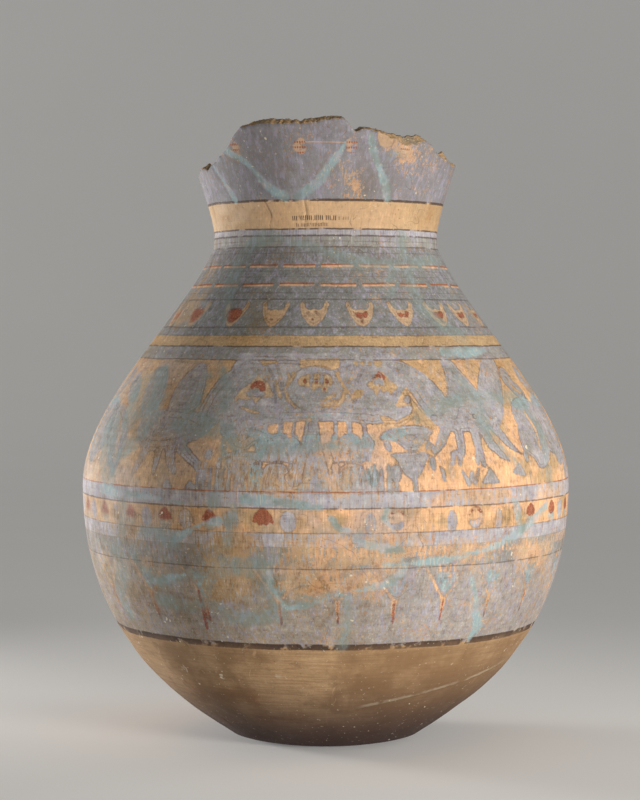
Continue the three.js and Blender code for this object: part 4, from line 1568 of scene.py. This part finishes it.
def inner_clay(paint, groups):
    """The unpainted inside, darker towards the bottom."""
    made = new_material("Inner clay")
    make = made[1]
    place, height, _ = object_place(make)
    grain = make.group(groups["grain"], vector=place)
    strokes = make.group(groups["streak"], vector=place)
    shade = make.mix(make.ease(grain["Mottle"], 0.4, 0.64), tuple(paint.clay), tuple(paint.deep_clay))
    shade = make.mix(make.ease(strokes["Across"], 0.45, 0.68, 0.0, 0.5), shade, tuple(paint.buff))
    shade = make.mix(make.ease(height, 300.0, 20.0, 0.0, 0.6), shade, SHADOWED_CLAY)
    shade = make.mix(make.math("MULTIPLY", grain["Pale grit"], 0.5), shade, tuple(paint.plaster))
    relief = make.math("ADD", strokes["Across"], grain["Sand"])
    return finish_clay(made, shade, 0.88, 0.22, relief, 0.0008, 0.6)


SHADOWED_CLAY = (0.09, 0.065, 0.048)
CLAYS = (painted_pottery, broken_clay, inner_clay)


# The studio

# Lamps: name, share of its power setting, width, height, place in metres and colour
WARM, PALE = (1.0, 0.95, 0.87), (1.0, 0.97, 0.93)
LAMPS = (
    ("key_light", "key_power", 1.0, 0.9, 0.36, (1.75, -1.9, 0.42), WARM),
    ("edge_light_left", "edge_power", 1.0, 0.5, 0.3, (-1.6, 0.75, 0.26), PALE),
    ("edge_light_right", "edge_power", 0.16, 0.5, 0.9, (1.8, 0.3, 0.75), PALE),
)
LAMP_SPREAD = math.radians(60)
LAMP_AIM = Vector((0.0, 0.0, 0.34))


def make_sweep(studio):
    """A round pale floor that bends up into a wall all round."""
    deselect()
    flat, bend, steps = studio.room_radius * 0.7, studio.room_radius * 0.3, 10
    bpy.ops.mesh.primitive_circle_add(vertices=96, radius=flat, fill_type="NGON", location=(0, 0, 0))
    floor = bpy.context.object
    floor.name = floor.data.name = "studio_sweep"
    bpy.ops.object.mode_set(mode="EDIT")
    bpy.ops.mesh.select_all(action="SELECT")
    bpy.ops.mesh.inset(thickness=bend)
    bpy.ops.mesh.select_mode(type="EDGE")
    bpy.ops.mesh.select_all(action="SELECT")
    bpy.ops.mesh.region_to_loop()
    radius, height = flat, 0.0
    for step in range(1, steps + 1):
        lift = math.pi / 2 * step / steps
        wider, higher = flat + bend * math.sin(lift), bend * (1 - math.cos(lift))
        bpy.ops.mesh.extrude_edges_move(TRANSFORM_OT_translate={"value": (0, 0, higher - height)})
        bpy.ops.transform.resize(value=(wider / radius, wider / radius, 1), center_override=(0, 0, 0))
        radius, height = wider, higher
    bpy.ops.mesh.extrude_edges_move(TRANSFORM_OT_translate={"value": (0, 0, studio.room_radius * 0.06)})
    bpy.ops.object.mode_set(mode="OBJECT")
    bpy.ops.object.shade_smooth()
    return floor


def pale_paper(glow):
    material, make, shader = new_material("Pale paper")
    place = make.node("ShaderNodeTexCoord").outputs["Object"]
    paper = make.mix(make.noise(place, 3.0, 3.0), (0.72, 0.72, 0.715), (0.75, 0.75, 0.745))
    make.feed(shader.inputs["Base Color"], paper)
    make.feed(shader.inputs["Roughness"], 0.9)
    make.feed(shader.inputs["Specular IOR Level"], 0.1)
    make.feed(shader.inputs["Emission Color"], (1.0, 1.0, 1.0))
    make.feed(shader.inputs["Emission Strength"], glow)
    return material


def soft_light(name, power, width, height, place, tint):
    """A soft lamp aimed at the jar, its beam narrowed so that it leaves no glare on the floor."""
    deselect()
    bpy.ops.object.light_add(type="AREA", location=place)
    lamp = bpy.context.object
    lamp.name = name
    lamp.data.shape = "RECTANGLE"
    lamp.data.size, lamp.data.size_y = width, height
    lamp.data.energy = power
    lamp.data.spread = LAMP_SPREAD
    lamp.data.color = tint
    lamp.rotation_mode = "QUATERNION"
    lamp.rotation_quaternion = (LAMP_AIM - Vector(place)).to_track_quat("-Z", "Y")


def build_studio(context):
    scene, studio = context.scene, context.scene.jar_studio
    floor = make_sweep(studio)
    floor.data.materials.append(pale_paper(studio.paper_glow))
    for name, setting, share, width, height, place, tint in LAMPS:
        soft_light(name, getattr(studio, setting) * share, width, height, place, tint)

    scene.world = scene.world or bpy.data.worlds.new("Room")
    scene.world.use_nodes = True
    sky = scene.world.node_tree.nodes["Background"]
    sky.inputs["Color"].default_value = (1.0, 0.95, 0.88, 1.0)
    sky.inputs["Strength"].default_value = studio.sky

    stand = (-studio.camera_side, -studio.camera_distance, studio.camera_height)
    bpy.ops.object.camera_add(location=stand)
    camera = context.object
    camera.name = "photo_camera"
    camera.rotation_euler = (math.pi / 2 - studio.camera_pitch, 0, 0)
    camera.data.sensor_width = 36
    camera.data.lens = studio.focal_length
    camera.data.clip_start, camera.data.clip_end = 0.05, 60
    scene.camera = camera
    scene.view_settings.view_transform = "Standard"


# Operators, panel and registration

class JAR_OT_make_studio(bpy.types.Operator):
    """Make the pale sweep, the soft lights and the camera"""

    bl_idname = "jar.make_studio"
    bl_label = "Make studio"

    def execute(self, context):
        build_studio(context)
        return {"FINISHED"}


class JAR_OT_make_jar(bpy.types.Operator):
    """Make the jar's hollow wall with its broken neck, and paint it"""

    bl_idname = "jar.make_jar"
    bl_label = "Make jar"

    def execute(self, context):
        build_jar(context)
        return {"FINISHED"}


class JAR_PT_panel(bpy.types.Panel):
    """Jar tools in the 3D view's sidebar"""

    bl_idname = "JAR_PT_panel"
    bl_label = "Painted storage jar"
    bl_space_type = "VIEW_3D"
    bl_region_type = "UI"
    bl_category = "Jar"

    def draw(self, context):
        layout = self.layout
        layout.operator("jar.make_studio")
        layout.operator("jar.make_jar")
        for settings in (context.scene.jar_sizes, context.scene.jar_paint, context.scene.jar_studio):
            box = layout.box()
            for name in settings.__annotations__:
                box.prop(settings, name)


CLASSES = (JarSizes, JarPaint, StudioSettings, JAR_OT_make_studio, JAR_OT_make_jar, JAR_PT_panel)


def register():
    for item in CLASSES:
        bpy.utils.register_class(item)
    bpy.types.Scene.jar_sizes = PointerProperty(type=JarSizes)
    bpy.types.Scene.jar_paint = PointerProperty(type=JarPaint)
    bpy.types.Scene.jar_studio = PointerProperty(type=StudioSettings)


def unregister():
    del bpy.types.Scene.jar_studio, bpy.types.Scene.jar_paint, bpy.types.Scene.jar_sizes
    for item in reversed(CLASSES):
        bpy.utils.unregister_class(item)


def main():
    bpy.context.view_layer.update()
    register()
    bpy.ops.jar.make_studio()
    bpy.ops.jar.make_jar()


if __name__ == "__main__":
    main()
